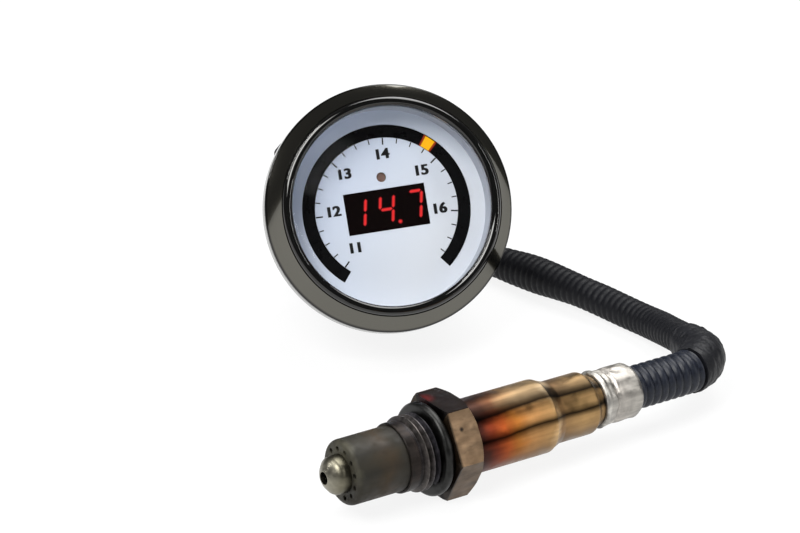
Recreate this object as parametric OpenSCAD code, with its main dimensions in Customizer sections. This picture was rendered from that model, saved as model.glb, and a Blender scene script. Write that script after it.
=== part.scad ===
// A panel gauge for air fuel ratio, the exhaust sensor that feeds it, and the sensor's lead.
// Sizes are in millimetres. The gauge leans back on the rim of its housing, as the plug and lead at its
// back hold it, and the sensor lies on a flat of its hexagon. +Y points away from whoever reads the dial.

/* [Bezel] */
// Width of the bezel's flange beyond the housing
flange_w = 4.1; // [3.5:0.1:6]
// Height of the bezel's straight side in front of the panel
bezel_side_h = 4.8; // [4:0.2:6]
// Width of the lip round the dial's opening
lip_w = 2.6; // [2.3:0.1:3]
// Reach of the lip inwards from the housing's radius
lip_reach = 1.9; // [1.7:0.1:2.4]
// Thickness of the lip in front of the lens
lip_t = 1.65; // [1.4:0.05:2]
// Height of the lip's bead above the sloping band
lip_rise = 1; // [0.7:0.1:1.2]

/* [Housing] */
// Radius of the housing where it passes through the panel
housing_r = 25.9; // [25.7:0.1:26.1]
// Height of the housing's rim in front of the panel
housing_rim_h = 7.8; // [7.4:0.1:8.2]
// Depth of the wide part behind the panel
spigot_depth = 12; // [11:0.5:13]
// Step from the wide part of the housing in to its rear body
rear_step = 3.7; // [3.2:0.1:4]
// Depth of the housing behind the panel
rear_depth = 30; // [29:0.5:32]
// Wall of the housing at its rim
rim_wall = 1.2; // [1:0.05:1.3]
// Wall of the rear body
rear_wall = 1.4; // [1.2:0.1:1.6]
// Width of the ledge that the dial lies on
ledge_w = 1.3; // [1:0.1:1.5]

/* [Lens and dial] */
// Thickness of the lens
lens_t = 1.8; // [1.5:0.1:2]
// Thickness of the gasket behind the lens
lens_gasket_t = 0.6; // [0.4:0.1:0.8]
// Thickness of the dial plate
dial_t = 0.8; // [0.6:0.1:1]
// Height of the dial's face above the panel
dial_face_h = 1.5; // [1.2:0.1:2]
// Width of the white rim between the ring of lamps and the bezel's lip
band_margin = 3.45; // [3:0.05:4]
// Width of the window for the ring of lamps
band_w = 3.15; // [2.6:0.05:3.6]
// Number of lamps in the ring
lamp_n = 24; // [20:1:28]
// Angle from the first lamp to the last
lamp_sweep = 270; // [260:1:275]
// Width of the digit display's window
display_w = 20; // [19.6:0.1:21]
// Height of the digit display's window
display_h = 10.1; // [9.8:0.1:10.6]
// Height of a digit
digit_h = 7.6; // [7:0.1:8]
// Width of a digit between its outer bars
digit_w = 4.1; // [3.8:0.1:4.4]
// Distance from one digit to the next
digit_pitch = 6.9; // [6.2:0.05:7]
// Width of a digit's bars
digit_bar = 0.85; // [0.7:0.05:1.1]
// Slant of the digits in degrees
digit_slant = 10.5; // [0:0.5:12]
// Radius of the hole for the light sensor
eye_r = 1.2; // [1.1:0.1:1.4]
// Distance from the display's window up to the light sensor's hole
eye_rise = 2.85; // [2.4:0.05:3.2]

/* [Boards] */
// Depth of the main board's front below the panel
board_depth = 5.3; // [5:0.1:5.6]
// Thickness of the boards
board_t = 1.6; // [1.2:0.2:1.6]
// Room between the rear board and the cover
rear_room = 9.5; // [9:0.5:11]

/* [Rear] */
// Thickness of the rear cover
cover_t = 2; // [1.8:0.1:2.4]
// Distance of each stud from the inside of the rear body
stud_inset = 4.8; // [4.6:0.1:5.2]
// Radius of the studs
stud_r = 2; // [1.9:0.1:2.1]
// Length of the studs behind the cover
stud_l = 16.3; // [15.5:0.1:18]
// Width of the bracket
bracket_w = 8; // [7:0.5:9]
// Thickness of the bracket's back
bracket_t = 1.6; // [1.4:0.1:1.8]
// Thickness of the bracket's legs
leg_t = 1; // [0.8:0.05:1.1]
// Free travel of the bracket between cover and washers
bracket_travel = 4; // [3:0.5:4.5]
// Radius of the thumb nuts
nut_r = 5; // [4.5:0.1:5.2]
// Length of the thumb nuts
nut_l = 6; // [5:0.5:6.5]
// Distance of the two inlets' centres from the inside of the rear body
inlet_inset = 8.8; // [8.6:0.1:9.2]

/* [Sensor] */
// Width across the flats of the sensor's hexagon
hex_af = 22; // [21.6:0.2:24]
// Radius of the sensor's thread over its crests
thread_r = 9; // [8.9:0.05:9.1]
// Radius of the protection tube
tube_r = 7.65; // [7.4:0.05:7.8]
// Radius of the sleeve's wide part
sleeve_r = 8.75; // [8.5:0.05:9.2]
// Radius of the sleeve's narrow part
neck_r = 7.4; // [7.2:0.05:7.8]
// Radius of the crimped cap
cap_r = 6.5; // [6.3:0.05:6.7]
// Radius of the boot over its ribs
boot_r = 5.2; // [5:0.05:5.4]
// Length of the cone that stands out of the protection tube
cone_l = 4.6; // [4.2:0.1:5]
// Number of holes round the cone
tip_hole_n = 12; // [10:1:13]
// Distance between the boot's ribs
rib_pitch = 2.1; // [1.9:0.1:2.3]

/* [Lead] */
// Radius of the ribbed loom over its ribs
loom_r = 4; // [3.8:0.1:4]
// Distance between the loom's ribs
loom_pitch = 2; // [1.8:0.1:2.4]
// Radius of the jacketed lead
lead_r = 2.25; // [2.2:0.01:2.25]
// Radius of the coil's outermost turn
coil_r = 26; // [25.6:0.1:26.4]

/* [Pose] */
// Angle by which the gauge leans back
gauge_lean = 27.5; // [26.5:0.5:28.5]
// Turn of the dial against the clock, as the gauge rolled on its rim
gauge_roll = 5.2; // [0:0.1:12]
// Heading of the sensor from the +X axis
sensor_yaw = 24.65; // [24:0.05:25.5]

/* [Hidden] */
$fn = 96;

// Named clearances
thread_gap = 0.06;
slip_gap = 0.1;
face_gap = 0.05;
stud_gap = 0.05;
loose_gap = 0.2;
cut = 1;
facets_small = 24;
facets_mid = 48;

// Radii of the gauge, worked inwards from the panel's hole
bezel_r = housing_r + flange_w;
view_r = housing_r - lip_reach;
band_in_r = view_r + lip_w;
band_r2 = view_r - band_margin;
band_r1 = band_r2 - band_w;
rear_r = housing_r - rear_step;
rear_in_r = rear_r - rear_wall;
stud_x = rear_in_r - stud_inset;
inlet_y = rear_in_r - inlet_inset;
eye_y = display_h / 2 + eye_rise;

// Places of the gauge's layers along its axis, with the panel's face at zero
lens_back = housing_rim_h + lens_gasket_t;
lens_front = lens_back + lens_t;
lip_under = lens_front + face_gap;
bezel_h = lip_under + lip_t;
band_top = bezel_h - lip_rise;
bezel_bore_r = housing_r + thread_gap;
rim_in_r = housing_r - rim_wall;
ledge_r = rim_in_r - ledge_w;
dial_back = dial_face_h - dial_t;
board_top = -board_depth;
board_back = board_top - board_t;
cover_in = cover_t - rear_depth;
board2_back = cover_in + rear_room;
board2_top = board2_back + board_t;
board_gap = board_back - board2_top;
bezel_edge = 0.3;
bezel_shoulder = 0.6;

// Ring of lamps
lamp_step = lamp_sweep / (lamp_n - 1);
band_half = lamp_n * lamp_step / 2;
band_mid_r = (band_r1 + band_r2) / 2;
band_flange = 0.7;
window_back = -0.3;
baffle_web = 1.1;

// Display
filter_t = 1.5;
filter_sink = 0.1;
filter_front = dial_face_h - filter_sink;
filter_back = filter_front - filter_t;
module_rim = 0.6;
bar_rise = 0.3;
bar_point = 0.12;
dot_r = 0.5;

// Place and stance of the gauge: the rear rim of the housing stands on the floor
gauge_x = -22;
gauge_y = 29.8;
gauge_z = rear_depth * sin(gauge_lean) + rear_r * cos(gauge_lean);

// Place of the sensor: the front of its hexagon stands at this spot of the floor
hex_x = -25.6;
hex_y = -56.1;
shoulder_w = 2.6;
thread_l = 5.2;
gasket_l = 2.2;
gasket_play = 0.5;
hex_l = 6.9;
sleeve_l = 22.3;
step_l = 3.5;
neck_l = 9;
round_l = 3.2;
cap_l = 10.9;
boot_l = 13.5;
tube_l = 13.6;
s_tube = cone_l;
s_collar = s_tube + tube_l;
s_thread = s_collar + shoulder_w;
s_gasket = s_thread + thread_l;
s_hex = s_gasket + gasket_l + gasket_play;
s_sleeve = s_hex + hex_l;
s_step = s_sleeve + sleeve_l;
s_neck = s_step + step_l;
s_round = s_neck + neck_l;
s_cap = s_round + round_l;
s_boot = s_cap + cap_l;
s_bend = s_boot + boot_l;
sensor_z = hex_af / 2;

// Bend of the boot under the tape
bend_r = 16;
bend_turn = 76;
bend_tilt = 7;
bend_core_r = 4.4;
wrap_from = 18;
wrap_ends = [bend_turn, 61, 45];
wrap_room = 0.35;
wrap_tail_l = 6.5;
wrap_tail_r = 4.6;

function unit(v) = v / norm(v);

// A point or a direction of the gauge's own frame, turned into the frame of the whole kit
function gauge_turn(v) =
    let (x = v.x * cos(gauge_roll) - v.y * sin(gauge_roll),
        y = v.x * sin(gauge_roll) + v.y * cos(gauge_roll))
    [x, y * sin(gauge_lean) - v.z * cos(gauge_lean), y * cos(gauge_lean) + v.z * sin(gauge_lean)];
function gauge_point(v) = [gauge_x, gauge_y, gauge_z] + gauge_turn(v);

module gauge_frame()
    translate([gauge_x, gauge_y, gauge_z]) rotate([90 - gauge_lean, 0, 0]) rotate([0, 0, gauge_roll])
        children();

// The sensor's own frame has its tip at the origin and its axis along +Z
sensor_axis = [cos(sensor_yaw), sin(sensor_yaw), 0];
sensor_left = [-sin(sensor_yaw), cos(sensor_yaw), 0];
sensor_tip = [hex_x, hex_y, sensor_z] - s_hex * sensor_axis;

module sensor_frame()
    translate(sensor_tip) rotate([0, 90, sensor_yaw]) children();

// The bend starts along the sensor's axis and ends heading for the gauge
bend_side = sensor_left * cos(bend_tilt) - [0, 0, sin(bend_tilt)];
bend_end = sensor_tip + s_bend * sensor_axis + bend_r * sin(bend_turn) * sensor_axis
    + bend_r * (1 - cos(bend_turn)) * bend_side;
bend_way = cos(bend_turn) * sensor_axis + sin(bend_turn) * bend_side;

module bend_frame()
    sensor_frame() translate([0, 0, s_bend]) rotate([0, 0, -bend_tilt]) children();

// Part of a ring swept round the bend, from one angle to another
module bend_sweep(from, to)
    translate([0, bend_r, 0]) rotate([90, 0, -90]) rotate([0, 0, from])
        rotate_extrude(angle = to - from) translate([bend_r, 0]) children();

module bend_tail_frame()
    translate([0, bend_r * (1 - cos(bend_turn)), bend_r * sin(bend_turn)])
        rotate([-bend_turn, 0, 0]) children();

module disc(r, z1, z2) translate([0, 0, z1]) cylinder(r = r, h = z2 - z1);

module ring(r1, r2, z1, z2)
    translate([0, 0, z1]) difference() {
        cylinder(r = r2, h = z2 - z1);
        translate([0, 0, -cut]) cylinder(r = r1, h = z2 - z1 + 2 * cut);
    }

module rounded(w, h, r) {
    square([w - 2 * r, h], center = true);
    square([w, h - 2 * r], center = true);
    for (sx = [-1, 1], sy = [-1, 1]) translate([sx * (w / 2 - r), sy * (h / 2 - r)])
        circle(r = r, $fn = facets_small);
}

module block(w, h, r, z1, z2) translate([0, 0, z1]) linear_extrude(height = z2 - z1) rounded(w, h, r);

// Points of an arc round a centre, from one angle to another
function arc(c, r, from, to, n) = [for (i = [0:n])
    let (a = from + (to - from) * i / n) [c.x + r * cos(a), c.y + r * sin(a)]];

// Outline of the ring of lamps, open at the foot of the dial
module lamp_band(r1, r2, half) {
    reach = 2 * r2;
    difference() {
        circle(r = r2);
        circle(r = r1);
        polygon([[0, 0], [-reach * sin(180 - half), -reach * cos(180 - half)],
            [reach * sin(180 - half), -reach * cos(180 - half)]]);
    }
}

// Bezel: a flange with a straight side, a sloping band and a rounded lip, screwed on the housing's rim
bead_r = (band_in_r - lip_rise / 5 - view_r) / 2;
bead_c = [view_r + bead_r, bezel_h - bead_r];
arc_steps = 12;

module bezel() color([0.2, 0.2, 0.19]) gauge_frame() rotate_extrude() polygon(concat(
    [[bezel_bore_r, 0], [bezel_r - bezel_edge, 0], [bezel_r, bezel_edge]],
    arc([bezel_r - bezel_shoulder, bezel_side_h], bezel_shoulder, 0, 60, 4),
    [[band_in_r, band_top]],
    arc(bead_c, bead_r, 0, 180, arc_steps),
    [[view_r, lip_under], [bezel_bore_r, lip_under]]));

// Lens: a flat glass that the lip holds down on its gasket
lens_r = bezel_bore_r - slip_gap;
lens_bevel = 0.25;
module lens() color([0.8, 0.88, 0.95, 0.35]) gauge_frame() rotate_extrude() polygon([[0, lens_back],
    [lens_r - lens_bevel, lens_back], [lens_r, lens_back + lens_bevel], [lens_r, lens_front - lens_bevel],
    [lens_r - lens_bevel, lens_front], [0, lens_front]]);

module lens_gasket() color([0.05, 0.05, 0.05]) gauge_frame()
    ring(rim_in_r + slip_gap, housing_r - slip_gap, housing_rim_h, lens_back);

// Inner ring: the pale wall between the dial and the lens
module inner_ring() color([0.55, 0.6, 0.66]) gauge_frame()
    ring(view_r + slip_gap, rim_in_r - slip_gap, dial_face_h, lens_back - face_gap);

// Dial: a plate with the openings for the ring of lamps, the digits and the light sensor
module dial() color([0.9, 0.92, 0.97]) gauge_frame() translate([0, 0, dial_back])
    linear_extrude(height = dial_t) difference() {
        circle(r = rim_in_r - slip_gap);
        lamp_band(band_r1, band_r2, band_half);
        square([display_w, display_h], center = true);
        translate([0, eye_y]) circle(r = eye_r, $fn = facets_small);
    }

// Lamp window: a smoked band flush with the dial, with a flange below the plate
module lamp_window() color([0.03, 0.03, 0.03]) gauge_frame() {
    translate([0, 0, dial_back - face_gap]) linear_extrude(height = dial_t)
        lamp_band(band_r1 + face_gap, band_r2 - face_gap, band_half - face_gap);
    translate([0, 0, window_back]) linear_extrude(height = dial_back - face_gap - window_back)
        lamp_band(band_r1 - band_flange, band_r2 + band_flange, band_half + band_flange);
}

module display_filter() color([0.05, 0.01, 0.01]) gauge_frame() translate([0, 0, filter_back])
    linear_extrude(height = filter_t)
        square([display_w - 2 * face_gap, display_h - 2 * face_gap], center = true);

// Display: three digits of seven bars each, and a point after the second digit
bars_top = filter_back - face_gap;
module_top = bars_top - bar_rise;

module display_module() color([0.06, 0.06, 0.06]) gauge_frame() translate([0, 0, board_top])
    linear_extrude(height = module_top - board_top)
        square([display_w + 2 * module_rim, display_h + 2 * module_rim], center = true);

function slant(p) = [p.x + p.y * tan(digit_slant), p.y];

// Outline of one bar from point a to point b, with pointed ends
module bar(a, b, at) {
    way = unit(b - a);
    side = [-way.y, way.x] * digit_bar / 2;
    tip1 = a + way * bar_point;
    tip2 = b - way * bar_point;
    in1 = tip1 + way * digit_bar / 2;
    in2 = tip2 - way * digit_bar / 2;
    polygon([for (p = [tip1, in1 + side, in2 + side, tip2, in2 - side, in1 - side]) slant(p + [at, 0])]);
}

module digit(at) {
    x = (digit_w - digit_bar) / 2;
    y = (digit_h - digit_bar) / 2;
    bar([-x, y], [x, y], at);
    bar([x, 0], [x, y], at);
    bar([x, -y], [x, 0], at);
    bar([-x, -y], [x, -y], at);
    bar([-x, -y], [-x, 0], at);
    bar([-x, 0], [-x, y], at);
    bar([-x, 0], [x, 0], at);
}

module digit_bars() color([0.9, 0.05, 0.03]) gauge_frame() translate([0, 0, module_top])
    linear_extrude(height = bar_rise) {
        for (i = [-1:1]) digit(i * digit_pitch);
        translate(slant([digit_pitch / 2, -(digit_h - digit_bar) / 2]))
            circle(r = dot_r, $fn = facets_small);
    }

// Light sensor: a small round eye on a foot that dims the lamps in the dark
eye_foot_r = 1.6;
eye_foot_h = 1;
module light_sensor() color([0.45, 0.4, 0.36]) gauge_frame() translate([0, eye_y, 0]) {
    disc(eye_foot_r, board_top, board_top + eye_foot_h);
    disc(eye_r - slip_gap, board_top + eye_foot_h, dial_back);
}

// Lamp baffle: one pocket for each lamp, so that its light stays in its own part of the window
module lamp_baffle() color([0.85, 0.85, 0.85]) gauge_frame() translate([0, 0, board_top])
    linear_extrude(height = window_back - board_top) difference() {
        lamp_band(band_r1 - band_flange, band_r2 + band_flange, band_half + band_flange);
        for (i = [0:lamp_n - 1]) rotate((i - (lamp_n - 1) / 2) * lamp_step) translate([0, band_mid_r])
            square([band_mid_r * lamp_step * PI / 180 - baffle_web, band_r2 - band_r1], center = true);
    }

lamp_w = 2;
lamp_d = 1.25;
lamp_h = 0.8;
module lamps() color([0.95, 0.9, 0.6]) gauge_frame() for (i = [0:lamp_n - 1])
    rotate([0, 0, (i - (lamp_n - 1) / 2) * lamp_step]) translate([0, band_mid_r, board_top + lamp_h / 2])
        cube([lamp_w, lamp_d, lamp_h], center = true);

// Boards
spacer_n = 3;
spacer_inset = 3.1;
spacer_at = rear_in_r - spacer_inset;
spacer_r = 1.8;
module main_board() color([0.1, 0.35, 0.18]) gauge_frame() disc(ledge_r - loose_gap, board_back, board_top);

chip_w = 9;
chip_h = 1.2;
driver_w = 5;
driver_d = 4;
driver_at = rear_in_r / 2;
module main_chips() color([0.08, 0.08, 0.09]) gauge_frame() translate([0, 0, board_back - chip_h]) {
    translate([-chip_w / 2, -chip_w / 2, 0]) cube([chip_w, chip_w, chip_h]);
    for (sx = [-1, 1]) translate([sx * driver_at - driver_w / 2, -driver_d / 2, 0])
        cube([driver_w, driver_d, chip_h]);
}

module board_spacers() color([0.75, 0.62, 0.3]) gauge_frame() for (i = [0:spacer_n - 1])
    rotate([0, 0, 90 + i * 360 / spacer_n]) translate([spacer_at, 0, 0])
        disc(spacer_r, board2_top, board_back, $fn = 6);

link_w = 15;
link_d = 2.5;
link_y = 8.5;
module board_link() color([0.07, 0.07, 0.07]) gauge_frame()
    translate([-link_w / 2, -link_y - link_d, board2_top]) cube([link_w, link_d, board_gap]);

module power_board() color([0.1, 0.35, 0.18]) gauge_frame()
    disc(rear_in_r - loose_gap * 2, board2_back, board2_top);

can_r = 3.1;
can_share = 0.6;
can_h = can_share * board_gap;
can_x = 9;
can_y = 7;
choke_w = 6;
choke_share = 0.3;
choke_h = choke_share * board_gap;
module power_parts() color([0.3, 0.3, 0.33]) gauge_frame() {
    for (sx = [-1, 1]) translate([sx * can_x, can_y, 0]) disc(can_r, board2_top, board2_top + can_h);
    translate([-choke_w / 2, -choke_w / 2, board2_top]) cube([choke_w, choke_w, choke_h]);
}

// Housing: a rim that carries the bezel, a spigot for the panel's hole and a narrower rear body
spigot_edge = 1;
screw_room = 2.5;
boss_n = 4;
boss_r = 2.4;
boss_l = rear_room - screw_room;
screw_r = 1;
boss_at = rear_in_r - boss_r + screw_r / 4;

module housing() color([0.07, 0.07, 0.075]) gauge_frame() {
    rotate_extrude() polygon([[rim_in_r, housing_rim_h], [housing_r, housing_rim_h],
        [housing_r, spigot_edge - spigot_depth], [housing_r - spigot_edge, -spigot_depth],
        [rear_r, -spigot_depth], [rear_r, -rear_depth], [rear_in_r, -rear_depth],
        [rear_in_r, board_back], [ledge_r, board_back], [ledge_r, dial_back], [rim_in_r, dial_back]]);
    for (i = [0:boss_n - 1]) rotate([0, 0, 45 + i * 360 / boss_n]) translate([boss_at, 0, 0])
        ring(screw_r + slip_gap, boss_r, cover_in, cover_in + boss_l, $fn = facets_small);
}

// Rear cover with openings for both inlets, the studs and the screws
inlet_wall = 0.9;
power_w = 11.6;
power_h = 7.2;
plug6_w = 15.6;
plug6_h = 7.4;
inlet_round = 0.8;
power_out_l = 7;
plug6_out_l = 8;
inlet_base = 2;
module rear_cover() color([0.09, 0.09, 0.095]) gauge_frame() translate([0, 0, -rear_depth])
    linear_extrude(height = cover_t) difference() {
        circle(r = rear_in_r - slip_gap);
        translate([0, -inlet_y]) rounded(power_w + 2 * loose_gap, power_h + 2 * loose_gap, inlet_round);
        translate([0, inlet_y]) rounded(plug6_w + 2 * loose_gap, plug6_h + 2 * loose_gap, inlet_round);
        for (sx = [-1, 1]) translate([sx * stud_x, 0]) circle(r = stud_r + stud_gap, $fn = facets_small);
        for (i = [0:boss_n - 1]) rotate(45 + i * 360 / boss_n) translate([boss_at, 0])
            circle(r = screw_r + slip_gap, $fn = facets_small);
    }

screw_head_r = 1.9;
screw_head_h = 1.2;
screw_grip = 1;
module cover_screws() color([0.5, 0.5, 0.52]) gauge_frame() for (i = [0:boss_n - 1])
    rotate([0, 0, 45 + i * 360 / boss_n]) translate([boss_at, 0, 0]) {
        disc(screw_head_r, -rear_depth - screw_head_h, -rear_depth, $fn = facets_small);
        disc(screw_r, -rear_depth, cover_in + boss_l - screw_grip, $fn = facets_small);
    }

// An inlet: a shroud with a floor that stands on the rear board and passes through the cover
module inlet(w, h, out_l) difference() {
    block(w, h, inlet_round, -rear_depth - out_l, board2_back);
    block(w - 2 * inlet_wall, h - 2 * inlet_wall, inlet_round / 2, -rear_depth - out_l - cut,
        board2_back - inlet_base);
}

pin_w = 0.64;
pin_pitch_x = 2.5;
pin_row = 2.5;
pin_short = 1.5;
module pins(columns, rows, out_l) for (i = [0:columns - 1], j = [0:rows - 1])
    translate([(i - (columns - 1) / 2) * pin_pitch_x, (j - (rows - 1) / 2) * pin_row, 0])
        translate([-pin_w / 2, -pin_w / 2, -rear_depth - out_l + pin_short])
            cube([pin_w, pin_w, rear_depth + out_l - pin_short + board2_back - inlet_base]);

module power_inlet() color([0.9, 0.9, 0.86]) gauge_frame() translate([0, -inlet_y, 0])
    inlet(power_w, power_h, power_out_l);
module power_pins() color([0.8, 0.7, 0.4]) gauge_frame() translate([0, -inlet_y, 0])
    pins(2, 2, power_out_l);
module sensor_inlet() color([0.1, 0.1, 0.1]) gauge_frame() translate([0, inlet_y, 0])
    inlet(plug6_w, plug6_h, plug6_out_l);
module sensor_pins() color([0.8, 0.7, 0.4]) gauge_frame() translate([0, inlet_y, 0])
    pins(3, 2, plug6_out_l);

// Studs, with heads that bear on the inside of the cover
stud_head_r = 3.4;
stud_head_h = 1.6;
stud_tip = 0.5;
module studs() color([0.7, 0.7, 0.72]) gauge_frame() for (sx = [-1, 1]) translate([sx * stud_x, 0, 0])
    rotate_extrude() polygon([[0, cover_in + stud_head_h], [stud_head_r, cover_in + stud_head_h],
        [stud_head_r, cover_in], [stud_r, cover_in], [stud_r, stud_tip - rear_depth - stud_l],
        [stud_r - stud_tip, -rear_depth - stud_l], [0, -rear_depth - stud_l]]);

// Bracket: a strap with two legs that press on the panel's back, loose on the studs until it is clamped
bracket_gap = 1;
back_overhang = 1.5;
foot_l = 0.95;
leg_gap = 0.35;
leg_out_x = housing_r + leg_gap + leg_t;
back_out_x = rear_r + back_overhang;
foot_x = leg_out_x + foot_l;
foot_t = 1;
foot_depth = 4.5;
leg_bend_depth = 12.5;
bar_front = -rear_depth - bracket_gap;
bar_rear = bar_front - bracket_t;
bracket_hole_r = stud_r + loose_gap;

module bracket() color([0.62, 0.63, 0.65]) gauge_frame() difference() {
    rotate([90, 0, 0]) translate([0, 0, -bracket_w / 2]) linear_extrude(height = bracket_w)
        polygon(concat(
            [[-back_out_x, bar_rear], [back_out_x, bar_rear], [leg_out_x, -leg_bend_depth],
                [leg_out_x, -foot_depth - foot_t], [foot_x, -foot_depth - foot_t], [foot_x, -foot_depth],
                [leg_out_x - leg_t, -foot_depth], [leg_out_x - leg_t, -leg_bend_depth],
                [back_out_x - leg_t, bar_front]],
            [[leg_t - back_out_x, bar_front], [leg_t - leg_out_x, -leg_bend_depth],
                [leg_t - leg_out_x, -foot_depth], [-foot_x, -foot_depth],
                [-foot_x, -foot_depth - foot_t], [-leg_out_x, -foot_depth - foot_t],
                [-leg_out_x, -leg_bend_depth]]));
    for (sx = [-1, 1]) translate([sx * stud_x, 0, 0])
        disc(bracket_hole_r, bar_rear - cut, bar_front + cut, $fn = facets_small);
}

// Washers and thumb nuts behind the bracket's free travel
washer_r = 4.4;
washer_t = 0.8;
washer_front = bar_rear - bracket_travel - loose_gap;
washer_back = washer_front - washer_t;
nut_front = washer_back - face_gap;
nut_back = nut_front - nut_l;
nut_neck_r = 3.8;
nut_neck_l = 1.4;
knurl_n = 30;
knurl_depth = 0.35;

module washer(side) gauge_frame() translate([side * stud_x, 0, 0])
    ring(stud_r + loose_gap, washer_r, washer_back, washer_front);
module thumb_nut(side) gauge_frame() translate([side * stud_x, 0, 0]) difference() {
    union() {
        disc(nut_neck_r, nut_front - nut_neck_l, nut_front);
        translate([0, 0, nut_back]) linear_extrude(height = nut_l - nut_neck_l)
            polygon([for (i = [0:2 * knurl_n - 1]) (nut_r - (i % 2) * knurl_depth)
                * [cos(i * 180 / knurl_n), sin(i * 180 / knurl_n)]]);
    }
    disc(stud_r + stud_gap, nut_back - cut, nut_front + cut);
}
module washer_left() color([0.7, 0.7, 0.72]) washer(-1);
module washer_right() color([0.7, 0.7, 0.72]) washer(1);
module thumb_nut_left() color([0.75, 0.76, 0.78]) thumb_nut(-1);
module thumb_nut_right() color([0.75, 0.76, 0.78]) thumb_nut(1);

// Sensor plug: a shell round the inlet's shroud, a core for the pins and a neck for the lead
plug_wall = 1.1;
plug_gap = 0.5;
plug_start = -rear_depth - plug_gap;
plug_l = 16.5;
plug_neck_r = 3.4;
plug_neck_l = 4;
plug_end = plug_start - plug_l;
shroud_end = -rear_depth - plug6_out_l;
plug_out_w = plug6_w + 2 * (plug_wall + slip_gap);
plug_out_h = plug6_h + 2 * (plug_wall + slip_gap);
core_gap = 0.15;
grip_depth = 0.5;
grip_n = 4;
grip_w = 0.9;
grip_share = 0.7;
pin_room = 0.2;

module sensor_plug() color([0.08, 0.08, 0.085]) gauge_frame() translate([0, inlet_y, 0]) difference() {
    union() {
        difference() {
            block(plug_out_w, plug_out_h, inlet_round * 2, plug_end, plug_start);
            block(plug6_w + 2 * slip_gap, plug6_h + 2 * slip_gap, inlet_round, shroud_end - loose_gap,
                plug_start + cut);
            for (sx = [-1, 1], i = [0:grip_n - 1])
                translate([sx * plug_out_w / 2, 0, plug_end + grip_w * (2 * i + 1)])
                    cube([2 * grip_depth, plug_out_h * grip_share, grip_w], center = true);
        }
        block(plug6_w - 2 * (inlet_wall + core_gap), plug6_h - 2 * (inlet_wall + core_gap),
            inlet_round / 2, shroud_end - cut, plug_start);
        disc(plug_neck_r, plug_end - plug_neck_l, plug_end);
        translate([0, plug_out_h / 2, 0]) latch_posts();
    }
    for (i = [-1:1], j = [-1, 1]) translate([i * pin_pitch_x, j * pin_row / 2, 0])
        disc(pin_w / sqrt(2) + pin_room, -rear_depth - plug6_out_l + pin_short - loose_gap,
            plug_start + cut, $fn = facets_small);
}

// Latch: a lever that rocks on a pin between two posts, with a hook over the inlet
latch_w = 6;
latch_t = 1;
latch_lift = 1.1;
latch_pin_r = 0.6;
post_t = 1;
latch_pin_y = latch_lift + latch_t / 2;
latch_mid = plug_start - plug_l / 2;
latch_l = 12;
latch_pin_gap = 0.05;
module latch_posts() for (sx = [-1, 1])
    translate([sx * (latch_w / 2 + loose_gap + post_t / 2), 0, latch_mid]) difference() {
        translate([-post_t / 2, 0, -post_t]) cube([post_t, latch_pin_y + post_t, 2 * post_t]);
        translate([0, latch_pin_y, 0]) rotate([0, 90, 0])
            cylinder(r = latch_pin_r + latch_pin_gap, h = 2 * post_t, center = true, $fn = facets_small);
    }

module plug_latch() color([0.1, 0.1, 0.105]) gauge_frame()
    translate([0, inlet_y + plug_out_h / 2, latch_mid]) {
        translate([-latch_w / 2, latch_lift, -latch_l / 2]) cube([latch_w, latch_t, latch_l]);
        translate([-latch_w / 2, latch_lift - latch_t / 2, latch_l / 2 - latch_t])
            cube([latch_w, latch_t / 2, latch_t]);
        translate([0, latch_pin_y, 0]) rotate([0, 90, 0])
            cylinder(r = latch_pin_r, h = latch_w + 2 * (loose_gap + post_t), center = true,
                $fn = facets_small);
    }

// Protection tube: closed by an end face with a ring of holes round the cone
tube_wall = 0.6;
tube_round = 1.2;
tip_hole_r = 0.6;
tip_hole_at = 5.7;
inner_r = 4.5;
shell_bore_r = 6.9;
tube_seat_l = 2.4;

module protection_tube() color([0.27, 0.25, 0.2]) sensor_frame() difference() {
    rotate_extrude() polygon(concat(
        [[inner_r + face_gap, s_tube]],
        arc([tube_r - tube_round, s_tube + tube_round], tube_round, -90, 0, 6),
        [[tube_r, s_collar + tube_seat_l], [tube_r - tube_wall, s_collar + tube_seat_l],
            [tube_r - tube_wall, s_tube + tube_round], [tube_r - tube_round, s_tube + tube_wall],
            [inner_r + face_gap, s_tube + tube_wall]]));
    for (i = [0:tip_hole_n - 1]) rotate([0, 0, (i + 0.5) * 360 / tip_hole_n]) translate([tip_hole_at, 0, 0])
        disc(tip_hole_r, s_tube - cut, s_tube + tube_wall + cut, $fn = facets_small);
}

// Inner tube: a blunt cone with a hole in its tip, and the tube that it stands on
cone_tip_r = 1.9;
cone_hole_r = 1.5;
inner_wall = 0.5;
cone_round = 0.15;
cone_shares = [[0.16, 0.67], [0.37, 0.91], [0.5, 0.985], [0.64, 1]];
inner_l = 15;
module inner_tube() color([0.62, 0.6, 0.55]) sensor_frame() rotate_extrude() polygon(concat(
    [[cone_hole_r, 0], [cone_tip_r - cone_round, 0], [cone_tip_r, cone_round]],
    [for (c = cone_shares) [inner_r * c[1], s_tube * c[0]]],
    [[inner_r, s_tube + inner_l], [inner_r - inner_wall, s_tube + inner_l],
        [inner_r - inner_wall, s_tube], [cone_hole_r, 2 * inner_wall]]));

// Sensing element: a ceramic strip in the ceramic bush
strip_w = 4;
strip_t = 1.4;
strip_start = 9;
bush_lead = 1.45;
bush_start = s_collar + tube_seat_l + bush_lead;
bush_l = 24;
bush_gap = 0.15;
strip_end_l = 6;
module sensing_element() color([0.93, 0.92, 0.88]) sensor_frame()
    translate([-strip_t / 2, -strip_w / 2, strip_start])
        cube([strip_t, strip_w, bush_start + bush_l + strip_end_l - strip_start]);

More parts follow.
